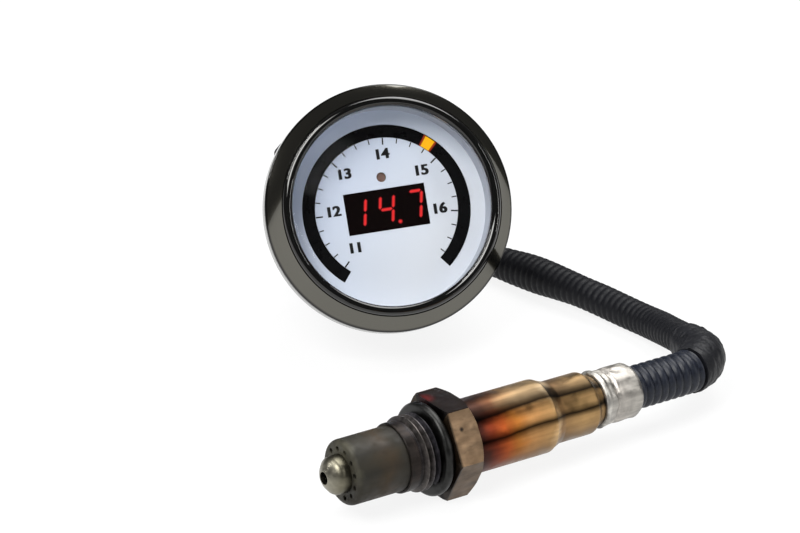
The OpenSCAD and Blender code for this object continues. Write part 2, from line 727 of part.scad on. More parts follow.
module ceramic_bush() color([0.88, 0.86, 0.8]) sensor_frame() difference() {
    disc(shell_bore_r - bush_gap, bush_start, bush_start + bush_l);
    translate([-strip_t / 2 - slip_gap, -strip_w / 2 - slip_gap, bush_start - cut])
        cube([strip_t + 2 * slip_gap, strip_w + 2 * slip_gap, bush_l + 2 * cut]);
}

// Shell: collar, thread, relief for the gasket and hexagon in one piece
collar_r = 8.2;
relief_r = 8.1;
hex_corner_r = hex_af / sqrt(3);
hex_edge = 1.1;
hex_slope = 1.5;
seat_r = tube_r + slip_gap;
sleeve_wall = 0.6;
thread_lead = 0.6;
module sensor_shell() color([0.25, 0.22, 0.2]) sensor_frame() difference() {
    union() {
        rotate_extrude() polygon([[0, s_collar], [collar_r, s_collar],
            [thread_r - thread_lead, s_thread], [thread_r, s_thread + thread_lead],
            [thread_r, s_gasket], [relief_r, s_gasket], [relief_r, s_hex], [0, s_hex]]);
        intersection() {
            translate([0, 0, s_hex]) rotate([0, 0, 30]) cylinder(r = hex_corner_r, h = hex_l, $fn = 6);
            rotate_extrude() polygon([[0, s_hex], [hex_corner_r - hex_edge / 2, s_hex],
                [hex_corner_r, s_hex + hex_edge / 3], [hex_corner_r, s_sleeve - hex_edge],
                [hex_corner_r - hex_slope, s_sleeve], [0, s_sleeve]]);
        }
    }
    disc(seat_r, s_collar - cut, s_collar + tube_seat_l + loose_gap);
    disc(shell_bore_r, s_collar - cut, s_sleeve + cut);
}

// Crush gasket: a folded ring that is free in the relief until the sensor is tightened
gasket_r = 10.95;
gasket_round = 0.9;
module crush_gasket() color([0.4, 0.4, 0.4]) sensor_frame() rotate_extrude() polygon(concat(
    [[relief_r + slip_gap, s_gasket]],
    arc([gasket_r - gasket_round, s_gasket + gasket_round], gasket_round, -90, 0, 4),
    arc([gasket_r - gasket_round, s_gasket + gasket_l - gasket_round], gasket_round, 0, 90, 4),
    [[relief_r + slip_gap, s_gasket + gasket_l]]));

// Sleeve: one drawn tube, wide at the hexagon, stepped down to its neck and rounded to the cap
sleeve_in_r = sleeve_r - sleeve_wall;
step_round = 0.8;
neck_round = 1.2;
neck_turn = 0.5;
neck_end_r = cap_r - neck_turn;
module sensor_sleeve() color([0.55, 0.38, 0.22]) sensor_frame() rotate_extrude() polygon(concat(
    [[sleeve_in_r, s_sleeve], [sleeve_r, s_sleeve]],
    arc([sleeve_r - step_round, s_step], step_round, 0, 50, 4),
    [[neck_r + step_round / 3, s_neck - step_round], [neck_r, s_neck]],
    arc([neck_r - neck_round, s_round], neck_round, 0, 70, 5),
    [[neck_end_r, s_cap - slip_gap], [neck_end_r - sleeve_wall, s_cap - slip_gap],
        [neck_r - neck_round - sleeve_wall, s_round], [neck_r - sleeve_wall, s_round - step_round],
        [neck_r - sleeve_wall, s_neck], [sleeve_in_r, s_step - step_round]]));

// Crimp cap: a rolled front lip, a crimped groove that grips the grommet, and a rear edge turned in
cap_wall = 0.6;
cap_lip = 0.35;
cap_lip_l = 1.6;
groove_at = 3.6;
groove_half = 0.75;
groove_floor = 0.3;
groove_sink = 0.4;
cap_turn = 1.3;
cap_mouth = 0.3;
cap_end_r = boot_r + cap_mouth;
groove = [[-groove_half, 0], [-groove_floor, groove_sink], [groove_floor, groove_sink], [groove_half, 0]];
module crimp_cap() color([0.72, 0.71, 0.68]) sensor_frame() rotate_extrude() polygon(concat(
    [[cap_r - cap_wall, s_cap], [cap_r, s_cap], [cap_r + cap_lip, s_cap + cap_lip],
        [cap_r + cap_lip, s_cap + cap_lip_l - cap_lip], [cap_r, s_cap + cap_lip_l]],
    [for (p = groove) [cap_r - p.y, s_cap + groove_at + p.x]],
    arc([cap_r - cap_turn, s_boot - cap_turn], cap_turn, 0, 70, 5),
    [[cap_end_r, s_boot], [cap_end_r, s_boot - cap_wall], [cap_r - cap_wall, s_boot - cap_turn]],
    [for (i = [len(groove) - 1:-1:0])
        [cap_r - cap_wall - groove[i].y, s_cap + groove_at + groove[i].x]]));

// Grommet: the rubber bush that the cap squeezes round the wires
grommet_r = cap_r - cap_wall - groove_sink - slip_gap;
module grommet() color([0.15, 0.13, 0.12]) sensor_frame()
    disc(grommet_r, s_cap + slip_gap, s_boot - cap_turn);

// Boot: ribbed rubber on the straight stretch and a plain core round the bend
rib_n = floor(boot_l / rib_pitch);
rib_sink = 0.75;
rib_shares = [[0.1, 0], [0.3, 1], [0.55, 1], [0.75, 0]];
bend_ribs = [[0.35, 0.85], [1.35, 1.85]];
rib_start = 1.2;
rib_angle = rib_pitch / bend_r * 180 / PI;
bend_spigot_r = bend_core_r - 2 * loose_gap;
module boot() color([0.07, 0.08, 0.1]) {
    sensor_frame() rotate_extrude() polygon(concat(
        [[0, s_boot - cap_turn], [boot_r, s_boot - cap_turn], [boot_r, s_boot + slip_gap]],
        [for (i = [0:rib_n - 1], c = rib_shares)
            [boot_r - rib_sink * c[1], s_boot + rib_start + rib_pitch * (i + c[0])]],
        [[boot_r, s_bend], [bend_spigot_r, s_bend], [bend_spigot_r, s_bend + loose_gap],
            [0, s_bend + loose_gap]]));
    bend_frame() {
        bend_sweep(0, bend_turn) circle(r = bend_core_r, $fn = facets_mid);
        for (c = bend_ribs) bend_sweep(c[0] * rib_angle, c[1] * rib_angle)
            circle(r = boot_r, $fn = facets_mid);
    }
}

// Tape: layers wound over the bend, fewer towards its end, and a last one on over the start of the loom
wrap_in_r = bend_core_r + wrap_room;
layer_t = 0.3;
layer_bite = 0.15;
layer_l = 1.2;
module tape_wrap() color([0.06, 0.06, 0.07]) bend_frame() {
    for (i = [0:len(wrap_ends) - 1]) bend_sweep(wrap_from - i, wrap_ends[i]) difference() {
        circle(r = wrap_in_r + (i + 1) * layer_t, $fn = facets_mid);
        circle(r = wrap_in_r + i * layer_bite, $fn = facets_mid);
    }
    bend_tail_frame() rotate_extrude($fn = facets_mid) polygon([[wrap_in_r + layer_bite, -layer_l],
        [wrap_in_r + layer_bite + layer_t, -layer_l], [wrap_in_r + layer_bite + layer_t, layer_l],
        [wrap_tail_r, wrap_tail_l], [wrap_tail_r - layer_t, wrap_tail_l],
        [wrap_in_r + layer_bite, layer_l]]);
}

// Smooth curve through points, and its points at equal steps of its length
function curve_point(p, i, t) =
    let (a = p[max(i - 1, 0)], b = p[i], c = p[i + 1], d = p[min(i + 2, len(p) - 1)])
    0.5 * (2 * b + (c - a) * t + (2 * a - 5 * b + 4 * c - d) * t * t + (3 * b - a - 3 * c + d) * t * t * t);
curve_steps = 12;
function curve(p) = concat(
    [for (i = [0:len(p) - 2], k = [0:curve_steps - 1]) curve_point(p, i, k / curve_steps)],
    [p[len(p) - 1]]);
function lengths(c) = [for (i = 0, s = 0; i < len(c); i = i + 1,
    s = i < len(c) ? s + norm(c[i] - c[i - 1]) : s) s];
function at_length(c, l, s) = [for (k = [0:2]) lookup(s, [for (i = [0:len(c) - 1]) [l[i], c[i][k]]])];
function even(p, n) = let (c = curve(p), l = lengths(c), whole = l[len(l) - 1])
    [for (i = [0:n]) at_length(c, l, whole * i / n)];
function route_length(p) = let (l = lengths(curve(p))) l[len(l) - 1];
function ways(c, first, last) = [for (i = [0:len(c) - 1])
    i == 0 ? first : i == len(c) - 1 ? last : unit(c[i + 1] - c[i - 1])];

// Rings of points round a path, square to it, one radius a ring
function ring_points(c, w, r, sides) = let (side = unit(cross(w, [0, 0, 1])), up = cross(side, w))
    [for (k = [0:sides - 1]) c + r * (cos(k * 360 / sides) * side + sin(k * 360 / sides) * up)];
function skin(first, rings, sides, out) = [for (i = [0:rings - 2], k = [0:sides - 1])
    let (a = first + i * sides + k, b = first + i * sides + (k + 1) % sides, c = a + sides, d = b + sides)
    each (out ? [[a, b, c], [b, d, c]] : [[a, c, b], [b, c, d]])];

// A solid tube, or a hose with a bore, with its ends square to the ways given
module tube(path, radii, sides, first, last) {
    n = len(path);
    w = ways(path, first, last);
    polyhedron(points = [for (i = [0:n - 1]) each ring_points(path[i], w[i], radii[i], sides)],
        faces = concat(skin(0, n, sides, true), [[for (k = [0:sides - 1]) sides - 1 - k]],
            [[for (k = [0:sides - 1]) (n - 1) * sides + k]]));
}
module hose(path, radii, bore, sides, first, last) {
    n = len(path);
    w = ways(path, first, last);
    inner = n * sides;
    end = (n - 1) * sides;
    polyhedron(points = concat([for (i = [0:n - 1]) each ring_points(path[i], w[i], radii[i], sides)],
            [for (i = [0:n - 1]) each ring_points(path[i], w[i], bore, sides)]),
        faces = concat(skin(0, n, sides, true), skin(inner, n, sides, false),
            [for (k = [0:sides - 1]) let (m = (k + 1) % sides, a = end + k, b = end + m)
                each [[k, inner + k, m], [m, inner + k, inner + m],
                    [a, b, inner + a], [b, inner + b, inner + a]]]));
}

// Two points that lead straight out of an end, and two that lead straight into one
near_share = 0.8;
far_share = 2;
function leave(at, way, r) = [at, at + near_share * r * way, at + far_share * r * way];
function arrive(at, way, r) = [at - far_share * r * way, at - near_share * r * way, at];

// The loom's route over the floor, from the bend to its end behind the gauge
loom_end_at = [0, 74, 4.05];
loom_end_way = unit([-7, 7.4, 0]);
loom_route = concat(leave(bend_end, bend_way, loom_r), [[41.4, 15.5, 5.2], [35, 27.7, 4.2],
    [28, 38.3, 4.05], [23, 46, 4.05], [18, 53.6, 4.05], [12.5, 60.8, 4.05]],
    arrive(loom_end_at, loom_end_way, loom_r));
loom_length = route_length(loom_route);
loom_ribs = floor(loom_length / loom_pitch);
loom_sink = 0.45;
loom_bore_r = 2.9;
lead_sides = 8;
module loom() color([0.06, 0.07, 0.1]) hose(even(loom_route, 2 * loom_ribs),
    [for (i = [0:2 * loom_ribs]) loom_r - (i % 2) * loom_sink], loom_bore_r, lead_sides,
    bend_way, loom_end_way);

// Loom end: a tapered sleeve that closes the loom round the lead
loom_end_l = 9;
loom_end_lip = 0.4;
lead_start = loom_end_at + loom_end_l * loom_end_way;
module loom_end() color([0.05, 0.05, 0.055]) translate(loom_end_at)
    rotate([0, 90, atan2(loom_end_way.y, loom_end_way.x)]) rotate_extrude($fn = facets_mid)
        polygon([[0, 0], [loom_r, 0], [loom_r, loom_end_l / 2], [lead_r + loom_end_lip, loom_end_l],
            [0, loom_end_l]]);

// The coil: one tube that spirals in on the floor's layer, climbs, and spirals out again on top
coil_x = -8.5;
coil_y = 119.5;
coil_lift = 0.95;
coil_gap = 0.45;
coil_pitch = 2 * lead_r + coil_gap;
coil_from = 220;
coil_turns = 2.8194;
climb_turns = 0.5;
coil_steps = 24;
coil_sides = 6;
coil_low = coil_lift + lead_r;
function smooth(t) = t < 0 ? 0 : t > 1 ? 1 : t * t * (3 - 2 * t);
function coil_point(u) = let (a = coil_from - 360 * u, r = coil_r - coil_pitch * min(u, coil_turns - u),
        z = coil_low + coil_pitch * smooth((u - coil_turns / 2) / climb_turns + 0.5))
    [coil_x + r * cos(a), coil_y + r * sin(a), z];
coil_rings = ceil(coil_turns * coil_steps);
coil_path = [for (i = [0:coil_rings]) coil_point(coil_turns * i / coil_rings)];
coil_start = coil_path[0];
coil_start_way = unit(coil_path[1] - coil_path[0]);
coil_end = coil_path[coil_rings];
coil_end_way = unit(coil_path[coil_rings] - coil_path[coil_rings - 1]);
coil_length = lengths(coil_path)[coil_rings];
coil_least = min([for (i = [0:coil_rings - 1], j = [i + coil_steps / 2:1:coil_rings])
    norm(coil_path[i] - coil_path[j])]) - 2 * lead_r;
module lead_coil() color([0.1, 0.1, 0.11])
    tube(coil_path, [for (i = [0:coil_rings]) lead_r], coil_sides, coil_start_way, coil_end_way);

// The lead from the loom's end to the coil, on the floor
lead_run_route = concat(leave(lead_start, loom_end_way, lead_r), [[-17.5, 91.5, 2.4], [-22.5, 97, 2.6]],
    arrive(coil_start, coil_start_way, lead_r));
lead_step = 10;
module lead_run() color([0.1, 0.1, 0.11])
    let (n = ceil(route_length(lead_run_route) / (lead_step / 2)))
    tube(even(lead_run_route, n), [for (i = [0:n]) lead_r], lead_sides, loom_end_way, coil_start_way);

// The lead from the top of the coil up to the plug
plug_exit = gauge_point([0, inlet_y, plug_end - plug_neck_l]);
plug_way = gauge_turn([0, 0, -1]);
lead_rise_route = concat(leave(coil_end, coil_end_way, lead_r),
    [[-10, 93.9, 9.2], [-15.4, 94.2, 11.2], [-20, 92.6, 13.8]],
    arrive(plug_exit, -plug_way, lead_r));
module lead_rise() color([0.1, 0.1, 0.11])
    let (n = ceil(route_length(lead_rise_route) / (lead_step / 3)))
    tube(even(lead_rise_route, n), [for (i = [0:n]) lead_r], lead_sides, coil_end_way, -plug_way);

// Two ties hold the coil together, and it rests on them
tie_gap = 0.3;
tie_t = coil_lift - tie_gap;
tie_w = 4;
tie_in_h = 4 * lead_r + coil_gap + 2 * tie_gap;
tie_turns = coil_turns / 2;
tie_in_w = 2 * lead_r + coil_pitch * tie_turns + 2 * tie_gap;
tie_at = coil_r + lead_r + tie_gap - tie_in_w / 2;
tie_round = 1.2;
tie_angles = [20, 155];
module coil_ties() color([0.08, 0.08, 0.08]) for (a = tie_angles)
    translate([coil_x, coil_y, 0]) rotate([0, 0, a]) translate([tie_at, tie_w / 2, tie_t + tie_in_h / 2])
        rotate([90, 0, 0]) linear_extrude(height = tie_w) difference() {
            rounded(tie_in_w + 2 * tie_t, tie_in_h + 2 * tie_t, tie_round + tie_t);
            rounded(tie_in_w, tie_in_h, tie_round);
        }

echo(loom_length = loom_length, run = route_length(lead_run_route), coil_length = coil_length,
    rise = route_length(lead_rise_route), coil_least_gap = coil_least);
echo(bend_end = bend_end, bend_way = bend_way, coil_start = coil_start, coil_start_way = coil_start_way,
    coil_end = coil_end, coil_end_way = coil_end_way, plug_exit = plug_exit, plug_way = plug_way);

bezel();
lens();
lens_gasket();
inner_ring();
dial();
lamp_window();
display_filter();
display_module();
digit_bars();
light_sensor();
lamp_baffle();
lamps();
main_board();
main_chips();
board_spacers();
board_link();
power_board();
power_parts();
housing();
rear_cover();
cover_screws();
power_inlet();
power_pins();
sensor_inlet();
sensor_pins();
studs();
bracket();
washer_left();
washer_right();
thumb_nut_left();
thumb_nut_right();
sensor_plug();
plug_latch();
protection_tube();
inner_tube();
sensing_element();
sensor_shell();
crush_gasket();
sensor_sleeve();
ceramic_bush();
crimp_cap();
grommet();
boot();
tape_wrap();
loom();
loom_end();
lead_run();
lead_coil();
lead_rise();
coil_ties();
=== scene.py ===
# %% [markdown]
# # A gauge for air fuel ratio with its exhaust sensor
#
# A round panel gauge leans back on the rim of its housing, and the sensor that it reads lies in front of it.
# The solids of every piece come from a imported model, whose frame is fixed. This lesson gives them the
# surfaces, marks and small forms that the solids leave out.

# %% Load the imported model
from math import cos, floor, pi, radians, sin, tan

import bmesh
import bpy
from mathutils import Euler, Matrix, Vector, noise


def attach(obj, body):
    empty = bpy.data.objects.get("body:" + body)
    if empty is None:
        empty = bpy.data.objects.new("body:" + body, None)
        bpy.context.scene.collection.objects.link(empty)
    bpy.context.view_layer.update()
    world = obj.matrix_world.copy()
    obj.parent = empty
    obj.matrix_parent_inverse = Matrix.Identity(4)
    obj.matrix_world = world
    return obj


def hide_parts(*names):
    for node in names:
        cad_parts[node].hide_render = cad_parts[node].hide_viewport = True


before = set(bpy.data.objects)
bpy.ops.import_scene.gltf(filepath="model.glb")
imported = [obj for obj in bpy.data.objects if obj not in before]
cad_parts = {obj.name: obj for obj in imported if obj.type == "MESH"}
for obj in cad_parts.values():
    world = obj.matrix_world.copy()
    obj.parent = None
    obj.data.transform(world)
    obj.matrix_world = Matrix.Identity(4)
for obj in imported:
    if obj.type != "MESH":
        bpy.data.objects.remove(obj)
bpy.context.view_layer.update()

scene = bpy.context.scene

# %% [markdown]
# ## The camera
#
# The camera stands a metre away, a little to the left of the gauge, and looks down by 23.3 degrees. A long
# lens gives the flat perspective of a product picture. The focal length is written in pixels of a frame
# 800 pixels wide, and a lens of 36 mm film width turns it into millimetres.

# %% Set up the camera
mm = 0.001
frame_width = 800
focal_pixels = 4430
film_width = 36
look_down = 23.3
look_right = 9.263
camera_spot = Vector((-177.6, -945.5, 444.0)) * mm
gauge_spot = Vector((-22, 29.8, 33.544)) * mm

camera_data = bpy.data.cameras.new("camera")
camera_data.sensor_width = film_width
camera_data.lens = film_width * focal_pixels / frame_width
camera_data.clip_start = 0.01
camera = bpy.data.objects.new("camera", camera_data)
camera.location = camera_spot
camera.rotation_euler = Euler((radians(90 - look_down), 0, radians(-look_right)))
scene.collection.objects.link(camera)
scene.camera = camera
print("lens of", round(camera_data.lens, 1), "mm")

# %% [markdown]
# ## Two working frames
#
# The gauge leans back by 27.5 degrees and has rolled by 5.2 degrees, and the sensor lies along a heading of
# its own. It is far easier to model each of them upright, in millimetres, and to put the finished mesh in
# place with one matrix. In the gauge's frame +Z comes out of the dial and zero is the panel's face. In the
# sensor's frame +Z runs from the tip to the boot, and +X points down to the floor.

# %% Matrices of the two frames
gauge_lean = 27.5
gauge_roll = 5.2
sensor_yaw = 24.65
hex_front = 28.7
to_metres = Matrix.Scale(mm, 4)
gauge_turn = (Matrix.Rotation(radians(90 - gauge_lean), 4, "X") @ Matrix.Rotation(radians(gauge_roll), 4, "Z"))
gauge_place = Matrix.Translation(gauge_spot) @ gauge_turn @ to_metres
sensor_way = Vector((cos(radians(sensor_yaw)), sin(radians(sensor_yaw)), 0))
sensor_tip = Vector((-25.6, -56.1, 11)) * mm - sensor_way * hex_front * mm
sensor_turn = Matrix.Rotation(radians(sensor_yaw), 4, "Z") @ Matrix.Rotation(radians(90), 4, "Y")
sensor_place = Matrix.Translation(sensor_tip) @ sensor_turn @ to_metres
print("sensor's tip at", [round(v / mm, 1) for v in sensor_tip])

# %% [markdown]
# ## Cords first
#
# The ribbed loom leaves the taped bend of the sensor's boot, runs over the floor and passes behind the
# gauge. There it closes round a jacketed lead, which lies in a coil and climbs to the gauge's plug. Both
# routes repeat the points of the solid model. A smooth curve is drawn through the points, and is then cut
# into equal steps, so that ribs have an even pitch.

# %% A smooth curve through points, in equal steps
def through(points, pieces=12):
    ends = [points[0]] + points + [points[-1]]
    line = []
    for a, b, c, d in zip(ends, ends[1:], ends[2:], ends[3:]):
        for k in range(pieces):
            t = k / pieces
            line.append((2 * b + (c - a) * t + (2 * a - 5 * b + 4 * c - d) * t ** 2
                         + (3 * b - a - 3 * c + d) * t ** 3) / 2)
    return line + [points[-1]]


def even(line, count):
    reach = [0]
    for a, b in zip(line, line[1:]):
        reach.append(reach[-1] + (b - a).length)
    found, i = [], 0
    for k in range(count + 1):
        want = reach[-1] * k / count
        while i < len(line) - 2 and reach[i + 1] < want:
            i += 1
        share = (want - reach[i]) / (reach[i + 1] - reach[i])
        found.append(line[i].lerp(line[i + 1], share))
    return found


def length_of(line):
    return sum((b - a).length for a, b in zip(line, line[1:]))


# %% [markdown]
# A tube is built ring by ring. Each ring is a circle operator at one point of the path, turned square to
# the path, and the bridge operator skins each pair of neighbours. A list of radii gives ribs.

# %% A tube with one radius for each ring
def ring_frame(path, i, top):
    way = (path[min(i + 1, len(path) - 1)] - path[max(i - 1, 0)]).normalized()
    side = way.cross(top).normalized()
    up = side.cross(way)
    turn = Matrix((side, up, way)).transposed().to_4x4()
    return Matrix.Translation(path[i]) @ turn


def tube(path, radii, sides=24, swell=None, top=Vector((0, 0, 1))):
    shape = bmesh.new()
    before = None
    for i, radius in enumerate(radii):
        made = bmesh.ops.create_circle(shape, segments=sides, radius=radius,
                                       matrix=ring_frame(path, i, top))
        if swell:
            for k, v in enumerate(made["verts"]):
                v.co += (v.co - path[i]).normalized() * swell(i, 2 * pi * k / sides)
        ring = list({e for v in made["verts"] for e in v.link_edges if e.other_vert(v) in made["verts"]})
        if before:
            bmesh.ops.bridge_loops(shape, edges=before + ring)
        before = ring
    bmesh.ops.holes_fill(shape, edges=[e for e in shape.edges if e.is_boundary], sides=sides)
    return shape


# %% [markdown]
# Every finished shape goes through one helper: it merges doubles, turns all normals outwards, moves the mesh
# into place, shades it smooth except at sharp edges, hangs it on the body that it rides on, and hides the
# solids that it stands for.

# %% Turn a shape into a finished piece
weld_mm = 0.0005


def finished(shape, name, body, replaces=(), place=None, sharp=38):
    bmesh.ops.remove_doubles(shape, verts=shape.verts, dist=weld_mm * mm if place is None else weld_mm)
    bmesh.ops.recalc_face_normals(shape, faces=shape.faces)
    if place is not None:
        shape.transform(place)
    for face in shape.faces:
        face.smooth = True
    mesh = bpy.data.meshes.new(name)
    shape.to_mesh(mesh)
    shape.free()
    mesh.set_sharp_from_angle(angle=radians(sharp))
    piece = bpy.data.objects.new(name, mesh)
    scene.collection.objects.link(piece)
    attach(piece, body)
    if replaces:
        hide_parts(*replaces)
    return piece


# %% [markdown]
# The loom is a soft hose. Its radius dips between the ribs, it bulges at one place and rises at another, and a
# slow noise makes it uneven.

# %% Route and body of the ribbed loom
def points(*rows):
    return [Vector(row) * mm for row in rows]


bend_start = 98
bend_r = 16
bend_turn = 76
bend_tilt = 7
left = Vector((-sensor_way.y, sensor_way.x, 0))
bend_side = left * cos(radians(bend_tilt)) - Vector((0, 0, sin(radians(bend_tilt))))
bend_end = (sensor_tip + sensor_way * mm * (bend_start + bend_r * sin(radians(bend_turn)))
            + bend_side * mm * bend_r * (1 - cos(radians(bend_turn))))
bend_way = sensor_way * cos(radians(bend_turn)) + bend_side * sin(radians(bend_turn))

loom_r = 4
loom_pitch = 2
loom_sink = 0.45
loom_end_at = Vector((0, 74, 4.05)) * mm
loom_end_way = Vector((-7, 7.4, 0)).normalized()


def leave(at, way, r):
    return [at, at + way * 0.8 * r * mm, at + way * 2 * r * mm]


def arrive(at, way, r):
    return [at - way * 2 * r * mm, at - way * 0.8 * r * mm, at]


loom_points = (leave(bend_end, bend_way, loom_r)
               + points((41.4, 15.5, 5.2), (35, 27.7, 4.2), (28, 38.3, 4.05), (23, 46, 4.05),
                        (18, 53.6, 4.05), (12.5, 60.8, 4.05))
               + arrive(loom_end_at, loom_end_way, loom_r))
loom_line = through(loom_points)
loom_length = length_of(loom_line)
loom_ribs = floor(loom_length / (loom_pitch * mm))
rib_shape = (-1, -0.25, 0, 0, -0.25, -1)
loom_path = even(loom_line, loom_ribs * len(rib_shape))
loom_radii = [(loom_r + loom_sink * 0.5 * rib_shape[i % len(rib_shape)]) * mm for i in range(len(loom_path))]
bulge_at, bulge_r, bulge_out = Vector((19, 51, 4)) * mm, 16, 0.7
rise_at, rise_r, rise_out = Vector((28, 38, 4)) * mm, 26, 0.9


def near(spot, centre, reach):
    t = max(1 - (spot - centre).length / (reach * mm), 0)
    return t * t * (3 - 2 * t)


def bulge(i, angle):
    spot = loom_path[i]
    rib = rib_shape[i % len(rib_shape)] * loom_sink * 0.3 * min(max(0.4 - cos(angle), 0), 1)
    crumple = noise.noise(spot / mm * 0.12 + Vector((cos(angle), sin(angle), 0))) * 0.12
    return (near(spot, bulge_at, bulge_r) * bulge_out + near(spot, rise_at, rise_r) * cos(angle) * rise_out
            + rib + crumple) * mm


floor_gap = 0.05 * mm
loom_shape = tube(loom_path, loom_radii, 32, bulge)
for v in loom_shape.verts:
    v.co.z = max(v.co.z, floor_gap)
loom = finished(loom_shape, "ribbed_loom", "kit", ["loom"], sharp=60)
print("loom of", round(loom_length / mm, 1), "mm with", loom_ribs, "ribs")

# %% [markdown]
# The lead is one piece from the loom's end to the plug. Its coil lies in two layers: it spirals inwards on
# the lower one, climbs, and spirals out again on the upper one.

# %% Route and body of the jacketed lead
lead_r = 2.25
coil_spot = Vector((-8.5, 119.5))
coil_r = 26
coil_pitch = 4.95
coil_from = 220
coil_turns = 2.8194
coil_low = 3.2
coil_rings = 68


def coil_point(u):
    angle = radians(coil_from - 360 * u)
    r = coil_r - coil_pitch * min(u, coil_turns - u)
    t = min(max(2 * (u - coil_turns / 2) + 0.5, 0), 1)
    return Vector((coil_spot.x + r * cos(angle), coil_spot.y + r * sin(angle),
                   coil_low + coil_pitch * t * t * (3 - 2 * t))) * mm


coil_path = [coil_point(coil_turns * i / coil_rings) for i in range(coil_rings + 1)]
coil_in = (coil_path[1] - coil_path[0]).normalized()
coil_out = (coil_path[-1] - coil_path[-2]).normalized()
loom_end_l = 9
lead_start = loom_end_at + loom_end_way * loom_end_l * mm
plug_back = -47
inlet_y = 12
plug_neck_l = 4
plug_exit = gauge_place @ Vector((0, inlet_y, plug_back - plug_neck_l))
plug_way = (gauge_turn @ Vector((0, 0, -1, 0))).to_3d()
run_points = (leave(lead_start, loom_end_way, lead_r) + points((-17.5, 91.5, 2.4), (-22.5, 97, 2.6))
              + arrive(coil_path[0], coil_in, lead_r))
rise_points = (leave(coil_path[-1], coil_out, lead_r)
               + points((-10, 93.9, 9.2), (-15.4, 94.2, 11.2), (-20, 92.6, 13.8))
               + arrive(plug_exit, -plug_way, lead_r))
lead_line = through(run_points)[:-1] + through(coil_path, 4)[:-1] + through(rise_points)
lead_path = even(lead_line, 360)
lead = finished(tube(lead_path, [lead_r * mm] * len(lead_path), 20), "jacketed_lead", "kit",
                ["lead_run", "lead_coil", "lead_rise"])

# %% [markdown]
# ## Materials
#
# A material starts from the standard surface shader. Fixed numbers are set on its own sockets. A few
# helpers keep the node work short: one turns a screen colour into a linear one, one adds a node and its
# settings, one reads a working frame in millimetres, and one adds fine bumps.

# %% Helpers for materials
def screen(*values):
    return tuple(round(((v / 255 + 0.055) / 1.055) ** 2.4, 4) for v in values)


def material(name, colour, roughness, metallic=0.0, **sockets):
    made = bpy.data.materials.new(name)
    made.use_nodes = True
    surface = made.node_tree.nodes["Principled BSDF"]
    surface.inputs["Base Color"].default_value = (*colour, 1)
    surface.inputs["Roughness"].default_value = roughness
    surface.inputs["Metallic"].default_value = metallic
    for socket, value in sockets.items():
        surface.inputs[socket.replace("_", " ").title().replace("Ior", "IOR")].default_value = value
    return made


def node(made, kind, inputs=(), **settings):
    new = made.node_tree.nodes.new("ShaderNode" + kind)
    for key, value in settings.items():
        setattr(new, key, value)
    for key, value in dict(inputs).items():
        if isinstance(value, bpy.types.NodeSocket):
            made.node_tree.links.new(value, new.inputs[key])
        else:
            new.inputs[key].default_value = value
    return new


def plug_in(made, output, socket):
    made.node_tree.links.new(output, made.node_tree.nodes["Principled BSDF"].inputs[socket])


def local(made, turn, origin):
    where = node(made, "TexCoord").outputs["Object"]
    return node(made, "Mapping", {"Vector": where, "Location": origin, "Rotation": turn.to_euler(),
                                  "Scale": (mm, mm, mm)}, vector_type="TEXTURE").outputs["Vector"]


def in_gauge(made):
    return local(made, gauge_turn, gauge_spot)


def in_sensor(made):
    return local(made, sensor_turn, sensor_tip)


def cloud(made, where, scale, detail=3, stretch=None):
    if stretch:
        where = node(made, "Mapping", {"Vector": where, "Scale": stretch}).outputs["Vector"]
    return node(made, "TexNoise", {"Vector": where, "Scale": scale, "Detail": detail}).outputs["Fac"]


def ramp(made, value, stops, mode="LINEAR"):
    new = node(made, "ValToRGB", {"Fac": value})
    new.color_ramp.interpolation = mode
    band = new.color_ramp.elements
    for i, (place, colour) in enumerate(stops):
        stop = band[i] if i < 2 else band.new(place)
        stop.position = place
        stop.color = (*colour, 1)
    return new.outputs["Color"]


def between(made, value, low, high, out_low=0.0, out_high=1.0):
    return node(made, "MapRange", {"Value": value, "From Min": low, "From Max": high,
                                   "To Min": out_low, "To Max": out_high}).outputs["Result"]


def blend(made, share, a, b, kind="MIX"):
    new = node(made, "Mix", data_type="RGBA", blend_type=kind)
    for socket, value in ((new.inputs[0], share), (new.inputs[6], a), (new.inputs[7], b)):
        if isinstance(value, bpy.types.NodeSocket):
            made.node_tree.links.new(value, socket)
        else:
            socket.default_value = value if isinstance(value, float) else (*value, 1)
    return new.outputs[2]


def bumps(made, height, depth, strength=1.0):
    new = node(made, "Bump", {"Height": height, "Distance": depth * mm, "Strength": strength})
    plug_in(made, new.outputs["Normal"], "Normal")


def grained(name, colour, roughness, metallic=0.0, where=in_gauge, scale=1.5, depth=0.02, spread=0.15,
            stretch=None, **sockets):
    made = material(name, colour, roughness, metallic, **sockets)
    grain = cloud(made, where(made), scale, stretch=stretch)
    dark = tuple(c * (1 - spread) for c in colour)
    light = tuple(min(c * (1 + spread), 1) for c in colour)
    plug_in(made, ramp(made, grain, [(0.3, dark), (0.7, light)]), "Base Color")
    plug_in(made, between(made, grain, 0.3, 0.7, roughness * 0.85, min(roughness * 1.15, 1)), "Roughness")
    bumps(made, grain, depth)
    return made


print("helpers ready")

# %% [markdown]
# ## Solids with soft edges
#
# Many small parts already have the right shape as solids, but a solid's corners are perfectly sharp, and
# nothing real is. A copy of the solid gets its loose triangles merged, its flat areas cleaned up and its
# sharp edges rounded, which is what catches the light on a moulded or stamped part.

# %% Copy a solid and round its edges
solid_weld_mm = 0.002
flat_within, rounded_from = 1, 30


